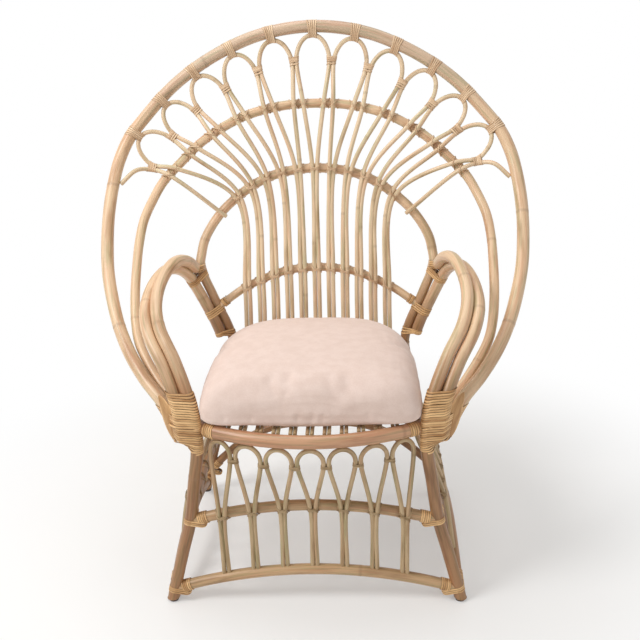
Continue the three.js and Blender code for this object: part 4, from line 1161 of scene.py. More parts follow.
def wind(
    surface, bundle, width, thickness, seed, lean=0.0, facing=0.0, lift=0.0, start=0.0, around=30, air=0.03
):
    """Winds a strip round a bundle: a helix on the belt, whose turns lie side by side.

    Each turn lies a strip's width and its share of air above the last one, give or take a little. A
    lean tips the turns half way up, so that they climb on the side that faces an angle, and leaves
    both ends square. The strip's width follows the bundle's surface. The strip starts at an angle
    and lies at a lift off the belt.
    """
    chance = np.random.default_rng(seed + WINDING_SEEDS)
    pitch = (1 + air) * width
    turns = max((bundle.length - width) / pitch, 1)
    angle = np.linspace(0, 2 * np.pi * turns, int(turns * around) + 2)
    turn = angle / (2 * np.pi)
    steps = np.linspace(0, turns, int(turns) + 2)
    uneven = chance.uniform(-UNEVEN_TURNS, UNEVEN_TURNS, len(steps)) * width
    uneven[[0, -1]] = 0
    tipped = lean * np.sin(np.pi * turn / turns) * np.cos(angle + start - facing)
    place = (width / 2 + pitch * turn + np.interp(turn, steps, uneven) + tipped) / bundle.length
    touched, outward, chosen = bundle.belt(place, angle + start)
    step = 0.3 * width / bundle.length
    above, below = (bundle.belt(place + way * step, angle + start, chosen)[0] for way in (1, -1))
    add_strip(surface, touched + outward * lift, outward, above - below, width, thickness, seed, turn)


def add_leaf(surface, places, outward, width, depth, bend, seed, columns=13):
    """A shaved piece of cane with pointed ends, along a path.

    At a share s of the path it is width * sin(pi s) ** 0.6 wide. Across, its face bends back by
    v ** 2 / (2 bend) at a distance v from the middle, and its back is a half circle flattened to
    depth * sin(pi s).
    """
    along = unit(np.gradient(places, axis=0))
    up = unit(outward - (outward * along).sum(axis=-1, keepdims=True) * along)
    across = np.cross(along, up)
    share_along = np.linspace(0, 1, len(places))
    fullness = np.maximum(np.sin(np.pi * share_along), 0.03)[:, None]
    v = np.sin(np.linspace(-0.5, 0.5, columns) * np.pi)
    under = np.concatenate([np.zeros(columns), np.sqrt(1 - v[1:-1] ** 2)])
    v = np.concatenate([v, v[-2:0:-1]])
    wide = width / 2 * fullness**0.6 * v
    height = -(wide**2) / (2 * bend) - depth * fullness * under
    rows = places[:, None] + across[:, None] * wide[..., None] + up[:, None] * height[..., None]
    distance = distances_along(places)[:, None] + STRIP_GRAIN_STEP * seed
    grain = np.stack(np.broadcast_arrays(distance, wide, height), axis=-1)
    # Painted highlight: the tone leaves the leaf lighter towards its rim and darker in its middle.
    tone = 0.95 - 0.85 * np.abs(v) ** 4
    surface.add(rows, grain, np.broadcast_to(tone, rows.shape[:2]), np.zeros(rows.shape[:2]))


# The turns of a tie lie this many widths apart, and a cane counts as leaning from them by no less than this
TIE_PITCH = 1.04
LEAST_SLANT = 0.45


def tie_across(surface, canes, outward, lead, turns, width, thickness, seed, lift=0.0, around=26):
    """Ties crossing canes with a strip that runs slantwise over them.

    canes are middles, directions and radii. The strip turns in the plane of outward and lead, where
    each cane's section is an ellipse, and touches the ellipse that reaches furthest. Each turn lies
    beside the last one.
    """
    outward = unit(outward)
    lead = unit(lead - (lead @ outward) * outward)
    shifted = np.cross(outward, lead)
    angle = -np.pi / 2 + np.linspace(0, 2 * np.pi * turns, int(turns * around) + 2)
    turn = (angle + np.pi / 2) / (2 * np.pi)
    offset = (turn - turns / 2) * width * TIE_PITCH
    facing = lead * np.cos(angle)[:, None] + outward * np.sin(angle)[:, None]
    touched, reach = [], []
    for middle, direction, radius in canes:
        slant = direction @ shifted
        slant = math.copysign(max(abs(slant), LEAST_SLANT), slant)
        centre = middle + (direction / slant) * offset[:, None]
        centre = centre - ((centre - middle) @ outward)[:, None] * outward
        wide = radius / abs(slant)
        size = np.sqrt((wide * np.cos(angle)) ** 2 + (radius * np.sin(angle)) ** 2)
        on_edge = (
            lead * (wide**2 * np.cos(angle) / size)[:, None]
            + outward * (radius**2 * np.sin(angle) / size)[:, None]
        )
        touched.append(centre + on_edge)
        reach.append((centre * facing).sum(axis=1) + size)
    furthest = np.argmax(np.stack(reach), axis=0)
    places = np.stack(touched)[furthest, np.arange(len(angle))] + facing * lift
    add_strip(surface, places, facing, np.broadcast_to(shifted, places.shape), width, thickness, seed, turn)


def cross_tie(surface, canes, outward, sizes, seed, turns=2):
    """Two slanting ties over a crossing, one over the other, that make an X on its front"""
    width = sizes.tie_strip
    first = unit(canes[0][1])
    second = unit(np.cross(outward, first))
    for layer, lead in enumerate((first + second, first - second)):
        lift = layer * sizes.thickness * 0.9
        tie_across(surface, canes, outward, lead, turns, width, sizes.thickness, seed + 50 * layer, lift)


class Finish:
    """A material and short ways to add the nodes that it reads"""

    def __init__(self, name):
        self.material = bpy.data.materials.new(name)
        self.material.use_nodes = True
        self.tree = self.material.node_tree
        self.shader = self.tree.nodes["Principled BSDF"]

    def node(self, kind, inputs=(), **settings):
        """A node with its settings, and its inputs linked or set in order"""
        made = self.tree.nodes.new(kind)
        for name, setting in settings.items():
            setattr(made, name, setting)
        for socket, source in dict(inputs).items():
            self.feed(made.inputs[socket], source)
        return made

    def feed(self, socket, source):
        """Links an output to a socket, or sets the socket's own value"""
        if isinstance(source, bpy.types.NodeSocket):
            self.tree.links.new(source, socket)
        else:
            socket.default_value = source

    def attribute(self, name, output="Fac"):
        """A value that the mesh holds at its vertices"""
        return self.node("ShaderNodeAttribute", attribute_name=name).outputs[output]

    def place(self):
        """Where a point lies on the piece, in metres"""
        return self.node("ShaderNodeTexCoord").outputs["Object"]

    def noise(self, vector, scales=1.0, detail=2.0, roughness=0.5):
        """Noise from 0 to 1 round 0.5. scales is one number or one for each part of the vector."""
        if isinstance(scales, tuple):
            mapped = self.node("ShaderNodeMapping", {"Vector": vector, "Scale": scales})
            vector, scales = mapped.outputs["Vector"], 1.0
        inputs = {"Vector": vector, "Scale": scales, "Detail": detail, "Roughness": roughness}
        return self.node("ShaderNodeTexNoise", inputs).outputs["Fac"]

    def math(self, operation, first, second=0.0):
        """One sum on two values"""
        return self.node("ShaderNodeMath", {0: first, 1: second}, operation=operation).outputs["Value"]

    def between(self, value, low, high, bottom=0.0, top=1.0):
        """A smooth step: bottom below low, top above high"""
        inputs = {"Value": value, "From Min": low, "From Max": high, "To Min": bottom, "To Max": top}
        made = self.node("ShaderNodeMapRange", inputs, interpolation_type="SMOOTHSTEP")
        return made.outputs["Result"]

    def blend(self, part, first, second, blend_type="MIX"):
        """Two colours blended by a part from 0 to 1"""
        made = self.node("ShaderNodeMix", data_type="RGBA", blend_type=blend_type, clamp_result=True)
        self.feed(made.inputs[0], part)
        self.feed(made.inputs[6], rgba(first))
        self.feed(made.inputs[7], rgba(second))
        return made.outputs[2]

    def bump(self, height, strength, distance, normal=None):
        """Small relief on the surface"""
        inputs = {"Height": height, "Strength": strength, "Distance": distance}
        if normal is not None:
            inputs["Normal"] = normal
        return self.node("ShaderNodeBump", inputs).outputs["Normal"]

    def surface(self, **sockets):
        """Feeds the shader: underscores in a name stand for spaces"""
        for name, source in sockets.items():
            self.feed(self.shader.inputs[name.replace("_", " ")], source)
        return self.material


def rgba(value):
    """A colour with its fourth part, or a socket as it is"""
    if isinstance(value, bpy.types.NodeSocket):
        return value
    return (*value[:3], 1.0)


def darker(value, part):
    """A colour scaled toward black"""
    return tuple(channel * part for channel in value[:3])


# What the streaks of a cane do to its colour: greyish green and pinkish brown
GREEN_STREAK = (0.72, 0.83, 0.74)
PINK_STREAK = (0.93, 0.78, 0.74)


def cane_finish(name, light, shade, gloss, low=None, heights=(0.0, 1.0)):
    """Skinned, varnished cane: fine fibres, green and pink streaks, broad patches and dark flecks.

    gloss is the varnish's roughness. Where low colours are given, the cane has them below the first
    height, in metres, and its own above the second; they are partly painted shade under the seat.
    """
    finish = Finish(name)
    grain = finish.attribute("grain", "Vector")
    dark = shade
    # Painted shade in part: below the heights the colours blend into the darker low colours.
    if low is not None:
        place = finish.place()
        height = finish.node("ShaderNodeSeparateXYZ", {"Vector": place}).outputs["Z"]
        drift = finish.math("MULTIPLY", finish.noise(place, 14), 0.08)
        drifted = finish.math("ADD", height, drift)
        below = finish.between(drifted, heights[0] + 0.04, heights[1] + 0.04, 1, 0)
        light, shade = (finish.blend(below, high, under) for high, under in zip((light, shade), low))
    fibres = finish.noise(grain, (14, 620, 620), detail=3, roughness=0.6)
    streaks = finish.noise(grain, (9, 170, 170), detail=1.5)
    stripes = finish.noise(grain, (6.5, 120, 120), detail=1.5)
    patches = finish.noise(grain, (8, 40, 40), detail=2.5, roughness=0.55)
    flecks = finish.between(finish.noise(grain, (150, 640, 640), detail=1), 0.7, 0.82)
    fibred = finish.between(fibres, 0.36, 0.72, 0, 0.3)
    patched = finish.between(patches, 0.44, 0.76, 0, 0.6)
    toned = finish.math("MULTIPLY", finish.attribute("tone"), 0.2)
    shaded = finish.math("ADD", finish.math("ADD", fibred, patched), toned)
    base = finish.blend(finish.between(shaded, 0.0, 1.2), light, shade)
    greened = finish.blend(finish.between(streaks, 0.5, 0.64, 0, 0.75), base, GREEN_STREAK, "MULTIPLY")
    pinked = finish.blend(finish.between(stripes, 0.5, 0.66, 0, 0.7), greened, PINK_STREAK, "MULTIPLY")
    joint = finish.between(finish.attribute("mark"), 0.1, 1.0, 0, 0.3)
    jointed = finish.blend(joint, pinked, darker(dark, 0.7))
    flecked = finish.blend(finish.math("MULTIPLY", flecks, 0.3), jointed, darker(dark, 0.45))
    relief = finish.bump(fibres, 0.35, 0.0006)
    relief = finish.bump(patches, 0.25, 0.0012, relief)
    roughness = finish.between(fibres, 0.2, 0.8, gloss - 0.07, gloss + 0.13)
    return finish.surface(
        Base_Color=flecked, Roughness=roughness, Normal=relief, Coat_Weight=0.15, Coat_Roughness=0.3
    )


def strip_finish(name, light, shade, crevice_shade):
    """Split cane: fibres along the strip, a tone for each turn, and painted shade along its edges.

    The last argument is how strongly the edges are darkened: painted shade where the turns meet.
    """
    finish = Finish(name)
    grain = finish.attribute("grain", "Vector")
    fibres = finish.noise(grain, (30, 1500, 1500), detail=3, roughness=0.6)
    patches = finish.noise(grain, (22, 90, 90), detail=2)
    tone = finish.attribute("tone")
    edge = finish.attribute("mark")
    fibred = finish.between(fibres, 0.35, 0.7, 0, 0.3)
    patched = finish.between(patches, 0.4, 0.75, 0, 0.4)
    toned = finish.math("MULTIPLY", tone, 0.75)
    shaded = finish.math("ADD", finish.math("ADD", fibred, toned), patched)
    base = finish.blend(finish.between(shaded, 0.0, 1.3), light, shade)
    # Painted shade: the strip's edges, where neighbouring turns meet, are darkened toward the shading
    # colour.
    crevice_shaded = finish.blend(finish.between(edge, 0.3, 0.9, 0, crevice_shade), base, darker(shade, 0.5))
    relief = finish.bump(fibres, 0.4, 0.0004)
    roughness = finish.between(fibres, 0.2, 0.8, 0.42, 0.62)
    return finish.surface(Base_Color=crevice_shaded, Roughness=roughness, Normal=relief, Coat_Weight=0.08)


def cloth_finish(name, light, shade):
    """Smooth cotton: threads under a millimetre apart, slubs along them and soft creases"""
    finish = Finish(name)
    place = finish.place()
    warp = finish.noise(place, (1500, 160, 300), detail=1)
    weft = finish.noise(place, (160, 1500, 1500), detail=1)
    weave = finish.math("MULTIPLY", finish.math("ADD", warp, weft), 0.5)
    uneven = finish.noise(place, 40)
    crumple = finish.noise(place, 9, detail=3, roughness=0.45)
    # Painted shade: the weave's hollows take the darker cloth colour.
    hollow = finish.between(weave, 0.4, 0.6, 0.4, 0)
    shaded = finish.math("ADD", hollow, finish.between(uneven, 0.3, 0.7, 0, 0.4))
    base = finish.blend(shaded, light, shade)
    relief = finish.bump(crumple, 0.35, 0.006)
    relief = finish.bump(weave, 0.3, 0.0003, relief)
    roughness = finish.between(uneven, 0.2, 0.8, 0.8, 0.94)
    return finish.surface(
        Base_Color=base, Roughness=roughness, Normal=relief, Sheen_Weight=0.25, Sheen_Roughness=0.5
    )


def glide_finish(name, base):
    """Moulded rubber, dull and slightly mottled"""
    finish = Finish(name)
    place = finish.place()
    mottle = finish.noise(place, 420, detail=3)
    scuffs = finish.noise(place, 90)
    tinted = finish.blend(finish.between(scuffs, 0.45, 0.75, 0, 0.5), base, darker((1, 0.97, 0.94), 0.16))
    roughness = finish.between(mottle, 0.3, 0.7, 0.52, 0.78)
    relief = finish.bump(mottle, 0.25, 0.0004)
    return finish.surface(Base_Color=tinted, Roughness=roughness, Normal=relief)


def floor_finish(name, base):
    """Pale matt floor that passes into a white ground away from the chair"""
    finish = Finish(name)
    place = finish.place()
    mottle = finish.noise(place, 3, detail=3)
    tinted = finish.blend(finish.between(mottle, 0.3, 0.7, 0, 0.06), base, darker(base, 0.9))
    finish.surface(Base_Color=tinted, Roughness=0.85, Specular_IOR_Level=0.1)
    apart = finish.node("ShaderNodeVectorMath", {0: place}, operation="LENGTH").outputs["Value"]
    # Painted light: even near the chair the floor shows the camera a share of white glow, which lightens
    # the chair's shadow.
    near, far, least = 0.55, 1.3, 0.3
    away = finish.between(apart, near, far, least, 1)
    rays = finish.node("ShaderNodeLightPath")
    seen = finish.math("MAXIMUM", rays.outputs["Is Camera Ray"], rays.outputs["Is Glossy Ray"])
    seen = finish.math("MAXIMUM", seen, rays.outputs["Is Transmission Ray"])
    white = finish.node("ShaderNodeEmission", {"Color": (1, 1, 1, 1), "Strength": 1.0}).outputs["Emission"]
    mixed = finish.node("ShaderNodeMixShader", {0: finish.math("MULTIPLY", away, seen)})
    finish.feed(mixed.inputs[1], finish.shader.outputs["BSDF"])
    finish.feed(mixed.inputs[2], white)
    finish.feed(finish.tree.nodes["Material Output"].inputs["Surface"], mixed.outputs["Shader"])
    return finish.material


# The chair's finishes: the record's finish, the function that makes it, its colours' name and the
# function's other values. low names the colours below the heights, which are in metres, and is partly
# painted shade.
FINISHES = {
    "pole": ("cane", cane_finish, "pole", {"gloss": 0.4}),
    "hoop": ("cane", cane_finish, "crown", {"gloss": 0.4, "low": "pole", "heights": (0.98, 1.16)}),
    "arm": ("leg_cane", cane_finish, "pole", {"gloss": 0.4, "low": "leg", "heights": (0.5, 0.64)}),
    "outer_arm": ("cane", cane_finish, "pole", {"gloss": 0.4, "low": "leg", "heights": (0.48, 0.64)}),
    "frame": ("cane", cane_finish, "pole", {"gloss": 0.4, "low": "leg", "heights": (0.46, 0.74)}),
    "thin": ("thin_cane", cane_finish, "thin", {"gloss": 0.45}),
    "apron": ("thin_cane", cane_finish, "apron", {"gloss": 0.45}),
    # Partly painted shade: the rails and stretchers under the seat take the legs' darker colours.
    "leg": ("leg_cane", cane_finish, "leg", {"gloss": 0.42}),
    "brace": ("cane", cane_finish, "brace", {"gloss": 0.42}),
    "rail": ("rail_cane", cane_finish, "rail", {"gloss": 0.32}),
    # The last value of each strip finish is how strongly its edges get painted shade where the turns meet.
    "strip": ("split_cane_binding", strip_finish, "strip", {"crevice_shade": 0.7}),
    "tie": ("split_cane_binding", strip_finish, "strip", {"crevice_shade": 0.45}),
    "apron_tie": ("split_cane_binding", strip_finish, "apron", {"crevice_shade": 0.5}),
    "corner_strip": ("split_cane_binding", strip_finish, "corner_strip", {"crevice_shade": 0.85}),
    "cloth": ("cushion_cloth", cloth_finish, "cloth", {}),
    "glide": ("glide", glide_finish, "glide", {}),
    "floor": (None, floor_finish, "floor", {}),
}


def colours_of(chair, name):
    """A colour and, where it has one, its shading"""
    colours = chair.sizes.finishes
    return [getattr(colours, each) for each in (name, name + "_shade") if hasattr(colours, each)]


def finish_for(chair, name):
    """The finish with a name, made the first time that it is asked for"""
    title = "chair_" + name
    if title in bpy.data.materials:
        return bpy.data.materials[title]
    _, make, colour_name, values = FINISHES[name]
    if "low" in values:
        values = values | {"low": colours_of(chair, values["low"])}
    return make(title, *colours_of(chair, colour_name), **values)


def make_piece(chair, surface, name, finish, *nodes):
    """A gathered surface as a piece with one of the chair's finishes"""
    return surface.make(name, chair, finish_for(chair, finish), FINISHES[finish][0], *nodes)


def make_cane(chair, node, cane, finish, seed, **shape):
    """One cane as the piece that stands for a CAD node"""
    surface = Surface()
    add_cane(surface, cane, seed, **shape)
    return make_piece(chair, surface, node + "_cane", finish, node)


def section(cane, place):
    """A cane's middle, direction and radius nearest a place"""
    part = cane.line.nearest(place)
    return cane.line.at(part), cane.line.along(part), cane.radius


def crossing_sections(bar, cane, legs):
    """The sections of a bar and of a loop's two legs where the legs cross the bar"""
    return [section(bar, mix(legs[0], legs[1], 0.5)), *(section(cane, leg) for leg in legs)]


def reaching(cane, place, reach, way):
    """A cane's stretch round a place, whose end lies further in a direction than its start"""
    start, end = cane.stretch(cane.line.nearest(place), reach)
    if (cane.line.at(end) - cane.line.at(start)) @ way < 0:
        start, end = end, start
    return cane, start, end


# The share of a strip's width that stays open between the turns of the heavy windings
COARSE_AIR = 0.08
# How many strip's thicknesses a second winding lies above the first one
SECOND_LAYER = 0.8


# Shares of a stretcher's radius: how far a belt reaches above and below its middle, and how far from
# the pole's skin the belt passes round it
BELT_REACH, BELT_DEPTH = 0.78, 0.9


def belt_joint(surface, pole, place, stretcher, inward, sizes, seed):
    """Winds a strip round a pole and the end of a cane that meets it, turn above turn"""
    part = pole.line.nearest(place)
    axis = pole.line.along(part)
    inward = unit(inward - (inward @ axis) * axis)
    reach = BELT_REACH * stretcher.radius
    offsets = np.linspace(-reach, reach, Bundle.STATIONS)
    pole_middles = pole.line.at(pole.line.part_of(pole.line.distance_of(part) + offsets))
    rear = pole.line.at(part) + inward * (pole.radius + BELT_DEPTH * stretcher.radius)
    rear_middles = rear + axis * offsets[:, None]
    rear_radii = np.sqrt(stretcher.radius**2 - offsets**2)
    belt = Bundle([pole_middles, rear_middles], [np.full(len(offsets), pole.radius), rear_radii])
    wind(surface, belt, sizes.crown_strip, sizes.thickness, seed)


def add_sleeve(surface, cane, from_end, band, at_end, sizes, seed):
    """Winds a strip round a cane alone, from a distance before one of its ends inward"""
    near, far = from_end, from_end + band
    if at_end:
        near, far = cane.line.length - near, cane.line.length - far
    sleeve = Bundle.of((cane, cane.line.part_of(near), cane.line.part_of(far)))
    wind(surface, sleeve, sizes.crown_strip, sizes.thickness, seed, lift=SECOND_LAYER * sizes.thickness)


def bind_joint(surface, pole, place, stretcher, at_end, sizes, seed):
    """Binds a stretcher's end to a pole: a belt round both, and a sleeve over the belt's crossings"""
    inward = -stretcher.line.along(1.0) if at_end else stretcher.line.along(0.0)
    belt_joint(surface, pole, place, stretcher, inward, sizes, seed)
    beside_pole = pole.radius + 0.002
    add_sleeve(surface, stretcher, beside_pole, sizes.joint_band, at_end, sizes, seed + 7)


def corner_bundle(chair, sign, low, high, with_hoops):
    """The poles that one corner binding ties, at heights from low to high.

    Below the tails of the hoops and the outer arm, their middles pass into the leg, so the binding
    tapers down to it in straight lines. Its turns lie level. Each cane is looked at only near the
    corner, where its height just grows along it or just falls.
    """
    heights = np.linspace(low, high, Bundle.STATIONS)
    leg = chair.front_pole
    above_corner = chair.leg_end * 1.6
    leg_middles = leg.line.at(leg.line.part_where(2, heights, 0, above_corner))
    middles, radii = [leg_middles], [np.full(len(heights), leg.radius)]
    others = [(chair.outer_arm, 0.0, 0.3)]
    if with_hoops:
        others += [(chair.middle_hoop, 1.0, 0.8), (chair.outer_hoop, 1.0, 0.8)]
    tail = chair.corner[2]
    for cane, start, end in others:
        parts = cane.line.part_where(2, np.maximum(heights, tail), start, end)
        blend = np.clip((heights - low) / max(tail - low, 1e-6), 0, 1)
        middles.append(mix(leg_middles, cane.line.at(parts), blend[:, None]))
        radii.append(mix(0.5, 1.0, blend) * cane.radius)
    middles = np.array(middles)
    return Bundle(middles if sign > 0 else middles * MIRROR, radii, UPWARD)


def chair_in(context):
    """The chair's lines, worked out from the scene's present sizes"""
    return Chair(context.scene.peacock_chair)


class Undoable:
    """What all operators share: a user can undo them"""

    bl_options = {"REGISTER", "UNDO"}


class CHAIR_OT_hoops(Undoable, bpy.types.Operator):
    """Makes the outer and the middle hoop"""

    bl_idname = "chair.hoops"
    bl_label = "Hoops"

    def execute(self, context):
        chair = chair_in(context)
        make_cane(chair, "outer_hoop", chair.outer_hoop, "hoop", 11, around=22)
        make_cane(chair, "middle_hoop", chair.middle_hoop, "pole", 12, around=18)
        return {"FINISHED"}


class CHAIR_OT_back_frame(Undoable, bpy.types.Operator):
    """Makes the back frame with its rear legs, and the lumbar rail"""

    bl_idname = "chair.back_frame"
    bl_label = "Back frame"

    def execute(self, context):
        chair = chair_in(context)
        cut = {"around": 18, "floor": chair.seat.glide_height}
        make_cane(chair, "back_frame_and_rear_legs", chair.frame, "frame", 17, **cut)
        make_cane(chair, "lumbar_rail", chair.lumbar, "pole", 14)
        return {"FINISHED"}


class CHAIR_OT_arms(Undoable, bpy.types.Operator):
    """Makes the front legs with the inner arms, and the outer arms"""

    bl_idname = "chair.arms"
    bl_label = "Legs and arms"

    def execute(self, context):
        chair = chair_in(context)
        cut = {"around": 20, "floor": chair.seat.glide_height}
        for i, (side, sign) in enumerate(SIDES.items()):
            pole, outer = on_side(chair.front_pole, sign), on_side(chair.outer_arm, sign)
            make_cane(chair, "front_leg_and_inner_arm_" + side, pole, "arm", 20 + i, **cut)
            make_cane(chair, "outer_arm_" + side, outer, "outer_arm", 24 + i, around=20)
        return {"FINISHED"}


class CHAIR_OT_seat_rails(Undoable, bpy.types.Operator):
    """Makes the front, side and rear seat rails"""

    bl_idname = "chair.seat_rails"
    bl_label = "Seat rails"

    def execute(self, context):
        chair = chair_in(context)
        make_cane(chair, "front_seat_rail", chair.front_rail, "rail", 31, around=22)
        make_cane(chair, "rear_seat_rail", chair.rear_rail, "leg", 32)
        for i, (side, sign) in enumerate(SIDES.items()):
            rail = on_side(chair.side_rail, sign)
            make_cane(chair, "side_seat_rail_" + side, rail, "leg", 33 + i)
        return {"FINISHED"}


class CHAIR_OT_stretchers(Undoable, bpy.types.Operator):
    """Makes the front and side stretchers and the rear arch"""

    bl_idname = "chair.stretchers"
    bl_label = "Stretchers"

    def execute(self, context):
        chair = chair_in(context)
        # The front stretchers take the darker brace colours: painted shade under the seat.
        make_cane(chair, "front_middle_stretcher", chair.front_middle, "brace", 41, around=18)
        make_cane(chair, "front_bottom_stretcher", chair.front_bottom, "brace", 42, around=18)
        make_cane(chair, "rear_arch_brace", chair.rear_arch, "leg", 43, around=18)
        for i, (side, sign) in enumerate(SIDES.items()):
            middle, bottom = on_side(chair.side_middle, sign), on_side(chair.side_bottom, sign)
            make_cane(chair, "side_middle_stretcher_" + side, middle, "leg", 46 + i, around=18)
            make_cane(chair, "side_bottom_stretcher_" + side, bottom, "leg", 48 + i, around=18)
        return {"FINISHED"}


class CHAIR_OT_fan(Undoable, bpy.types.Operator):
    """Makes the looped canes of the back and the half canes at both ends"""

    bl_idname = "chair.fan"
    bl_label = "Fan"

    def execute(self, context):
        chair = chair_in(context)
        fan = Fan(chair)
        for i, cane in enumerate(fan.loops):
            make_cane(chair, f"fan_loop_{i + 1:02d}", cane, "thin", 60 + i, **THIN_CANE)
        for i, (side, cane) in enumerate(zip(SIDES, (fan.row[0], fan.row[-1]))):
            make_cane(chair, "fan_half_cane_" + side, cane, "thin", 80 + i, **THIN_CANE)
        return {"FINISHED"}


class CHAIR_OT_aprons(Undoable, bpy.types.Operator):
    """Makes the looped canes under the seat, in front and at the sides"""

    bl_idname = "chair.aprons"
    bl_label = "Aprons"

    def execute(self, context):
        chair = chair_in(context)
        # The aprons take the darker apron colours: painted shade under the seat.
        for i, cane in enumerate(front_apron(chair).loops):
            make_cane(chair, f"front_apron_loop_{i + 1}", cane, "apron", 90 + i, **THIN_CANE)
        for side, sign in SIDES.items():
            surface = Surface()
            for i, cane in enumerate(side_apron(chair, sign).loops):
                add_cane(surface, cane, 100 + 10 * (sign > 0) + i, **THIN_CANE)
            name = "side_apron_" + side
            make_piece(chair, surface, name + "_canes", "apron", name)
        return {"FINISHED"}


class CHAIR_OT_seat_canes(Undoable, bpy.types.Operator):
    """Makes the canes laid across the seat and the pole that bears them"""

    bl_idname = "chair.seat_canes"
    bl_label = "Seat canes"

    def execute(self, context):
        chair = chair_in(context)
        fan, canes = Fan(chair), chair.canes
        radius = canes.seat_cane
        level = chair.seat_level - radius - canes.touch
        rear = fan.front - canes.fan - canes.touch
        surface = Surface()
        rail = chair.front_rail
        reach = math.sqrt((rail.radius + canes.cross) ** 2 - (level - radius - chair.seat.rail_height) ** 2)
        for i in range(chair.sizes.fan.loops):
            for sign in (-1, 1):
                across = (i - fan.span) * fan.seat_pitch + sign * (radius + canes.touch)
                part = rail.line.part_where(0, across)
                front = rail.line.at(part)[1] + reach / rail.line.along(part)[0]
                line = Arch([across, front, level], [across, rear, level])
                add_cane(surface, Cane(line, radius), 130 + 2 * i + (sign > 0), around=10, ring_gap=0.012)
        depth = mix(chair.seat.rail_setback, rear, 0.5)
        half = chair.side_rail.line.at(0.5)[0]
        bearer_level = level - radius - canes.bearer
        bearer = Arch([-half, depth, bearer_level], [half, depth, bearer_level])
        add_cane(surface, Cane(bearer, canes.bearer), 160)
        # The seat canes take the darker apron colours: painted shade under the cushion.
        make_piece(chair, surface, "seat_canes_and_bearer", "apron", "seat_canes")
        return {"FINISHED"}


class CHAIR_OT_fan_bindings(Undoable, bpy.types.Operator):
    """Makes the bindings at the crowns, the lashings and the ties where the fan crosses the frame"""

    bl_idname = "chair.fan_bindings"
    bl_label = "Fan bindings"

    def execute(self, context):
        chair = chair_in(context)
        fan, sizes = Fan(chair), chair.sizes.binding
        self.bind_crowns(chair, fan, sizes)
        self.bind_lashings(chair, fan, sizes)
        self.tie_middle_hoop(chair, fan, sizes)
        self.tie_pairs(chair, fan, sizes)
        return {"FINISHED"}

    def bind_crowns(self, chair, fan, sizes):
        """Winds a strip round the outer hoop and each crown"""
        surface = Surface()
        hoop = chair.outer_hoop
        for i, cane in enumerate(fan.loops):
            part = hoop.line.from_middle(fan.round_hoop(i - fan.span))
            on_hoop = (hoop, *hoop.stretch(part, sizes.crown_band))
            on_loop = (cane, *cane.stretch(0.5, sizes.crown_band))
            crown = Bundle.of(on_hoop, on_loop)
            wind(surface, crown, sizes.crown_strip, sizes.thickness, 200 + i, start=1.5)
        make_piece(chair, surface, "crown_bindings", "strip")

    def bind_lashings(self, chair, fan, sizes):
        """Winds a narrow strip round each two neighbouring canes where they meet"""
        surface = Surface()
        lowered = 0.004
        turns = {"around": 24, "start": 2.5, "air": -0.06}
        for i, (lashing, pair) in enumerate(fan.lashed()):
            out = -fan.inward(lashing)
            stretches = []
            for cane, shift in zip(pair, (-fan.pair_half, fan.pair_half)):
                place = fan.lashing_point(lashing, shift) - out * lowered
                stretches.append(reaching(cane, place, sizes.lashing_band, out))
            bundle = Bundle.of(*stretches)
            wind(surface, bundle, sizes.lashing_strip, sizes.thickness, 220 + i, **turns)
        make_piece(chair, surface, "lashings", "strip")

    def tie_middle_hoop(self, chair, fan, sizes):
        """Ties each single cane to the middle hoop"""
        surface = Surface()
        for i, (lashing, pair) in enumerate(fan.lashed()):
            for cane, split in zip(pair, (-1, 1)):
                place = fan.middle_cross(lashing, split * fan.sizes.middle_split)
                self.tie(surface, [chair.middle_hoop, cane], place, sizes, 240 + 4 * i + split, turns=1)
        make_piece(chair, surface, "middle_hoop_ties", "tie")

    def tie_pairs(self, chair, fan, sizes):
        """Ties each pair to the back frame, the lumbar rail and the rear seat rail"""
        on_frame, on_lumbar, on_rail = Surface(), Surface(), Surface()
        for i, cane in enumerate(fan.loops):
            place = i - fan.span
            shifts = (-fan.pair_half, fan.pair_half)
            frame_legs = [fan.inner_cross(place * fan.sizes.inner_pitch + shift, place) for shift in shifts]
            self.tie_pair(on_frame, chair.frame, cane, frame_legs, sizes, 300 + 7 * i)
            lumbar_legs = [fan.lumbar_cross(place, shift) for shift in shifts]
            self.tie_pair(on_lumbar, chair.lumbar, cane, lumbar_legs, sizes, 302 + 7 * i)
            across = place * fan.seat_pitch
            rail_legs = [np.array([across + shift, fan.front, chair.rail_level]) for shift in shifts]
            self.tie_pair(on_rail, chair.rear_rail, cane, rail_legs, sizes, 400 + 7 * i)
        make_piece(chair, on_frame, "back_frame_ties", "tie")
        make_piece(chair, on_lumbar, "lumbar_ties", "tie")
        make_piece(chair, on_rail, "rear_rail_ties", "tie")

    def tie(self, surface, canes, place, sizes, seed, turns):
        """An X over one cane that crosses a thicker one"""
        sections = [section(cane, place) for cane in canes]
        outward = unit(sections[1][0] - sections[0][0])
        cross_tie(surface, sections, outward, sizes, seed, turns)

    def tie_pair(self, surface, bar, cane, legs, sizes, seed):
        """An X over both legs of a loop where they cross a bar"""
        sections = crossing_sections(bar, cane, legs)
        outward = unit(mix(legs[0], legs[1], 0.5) - sections[0][0])
        cross_tie(surface, sections, outward, sizes, seed)


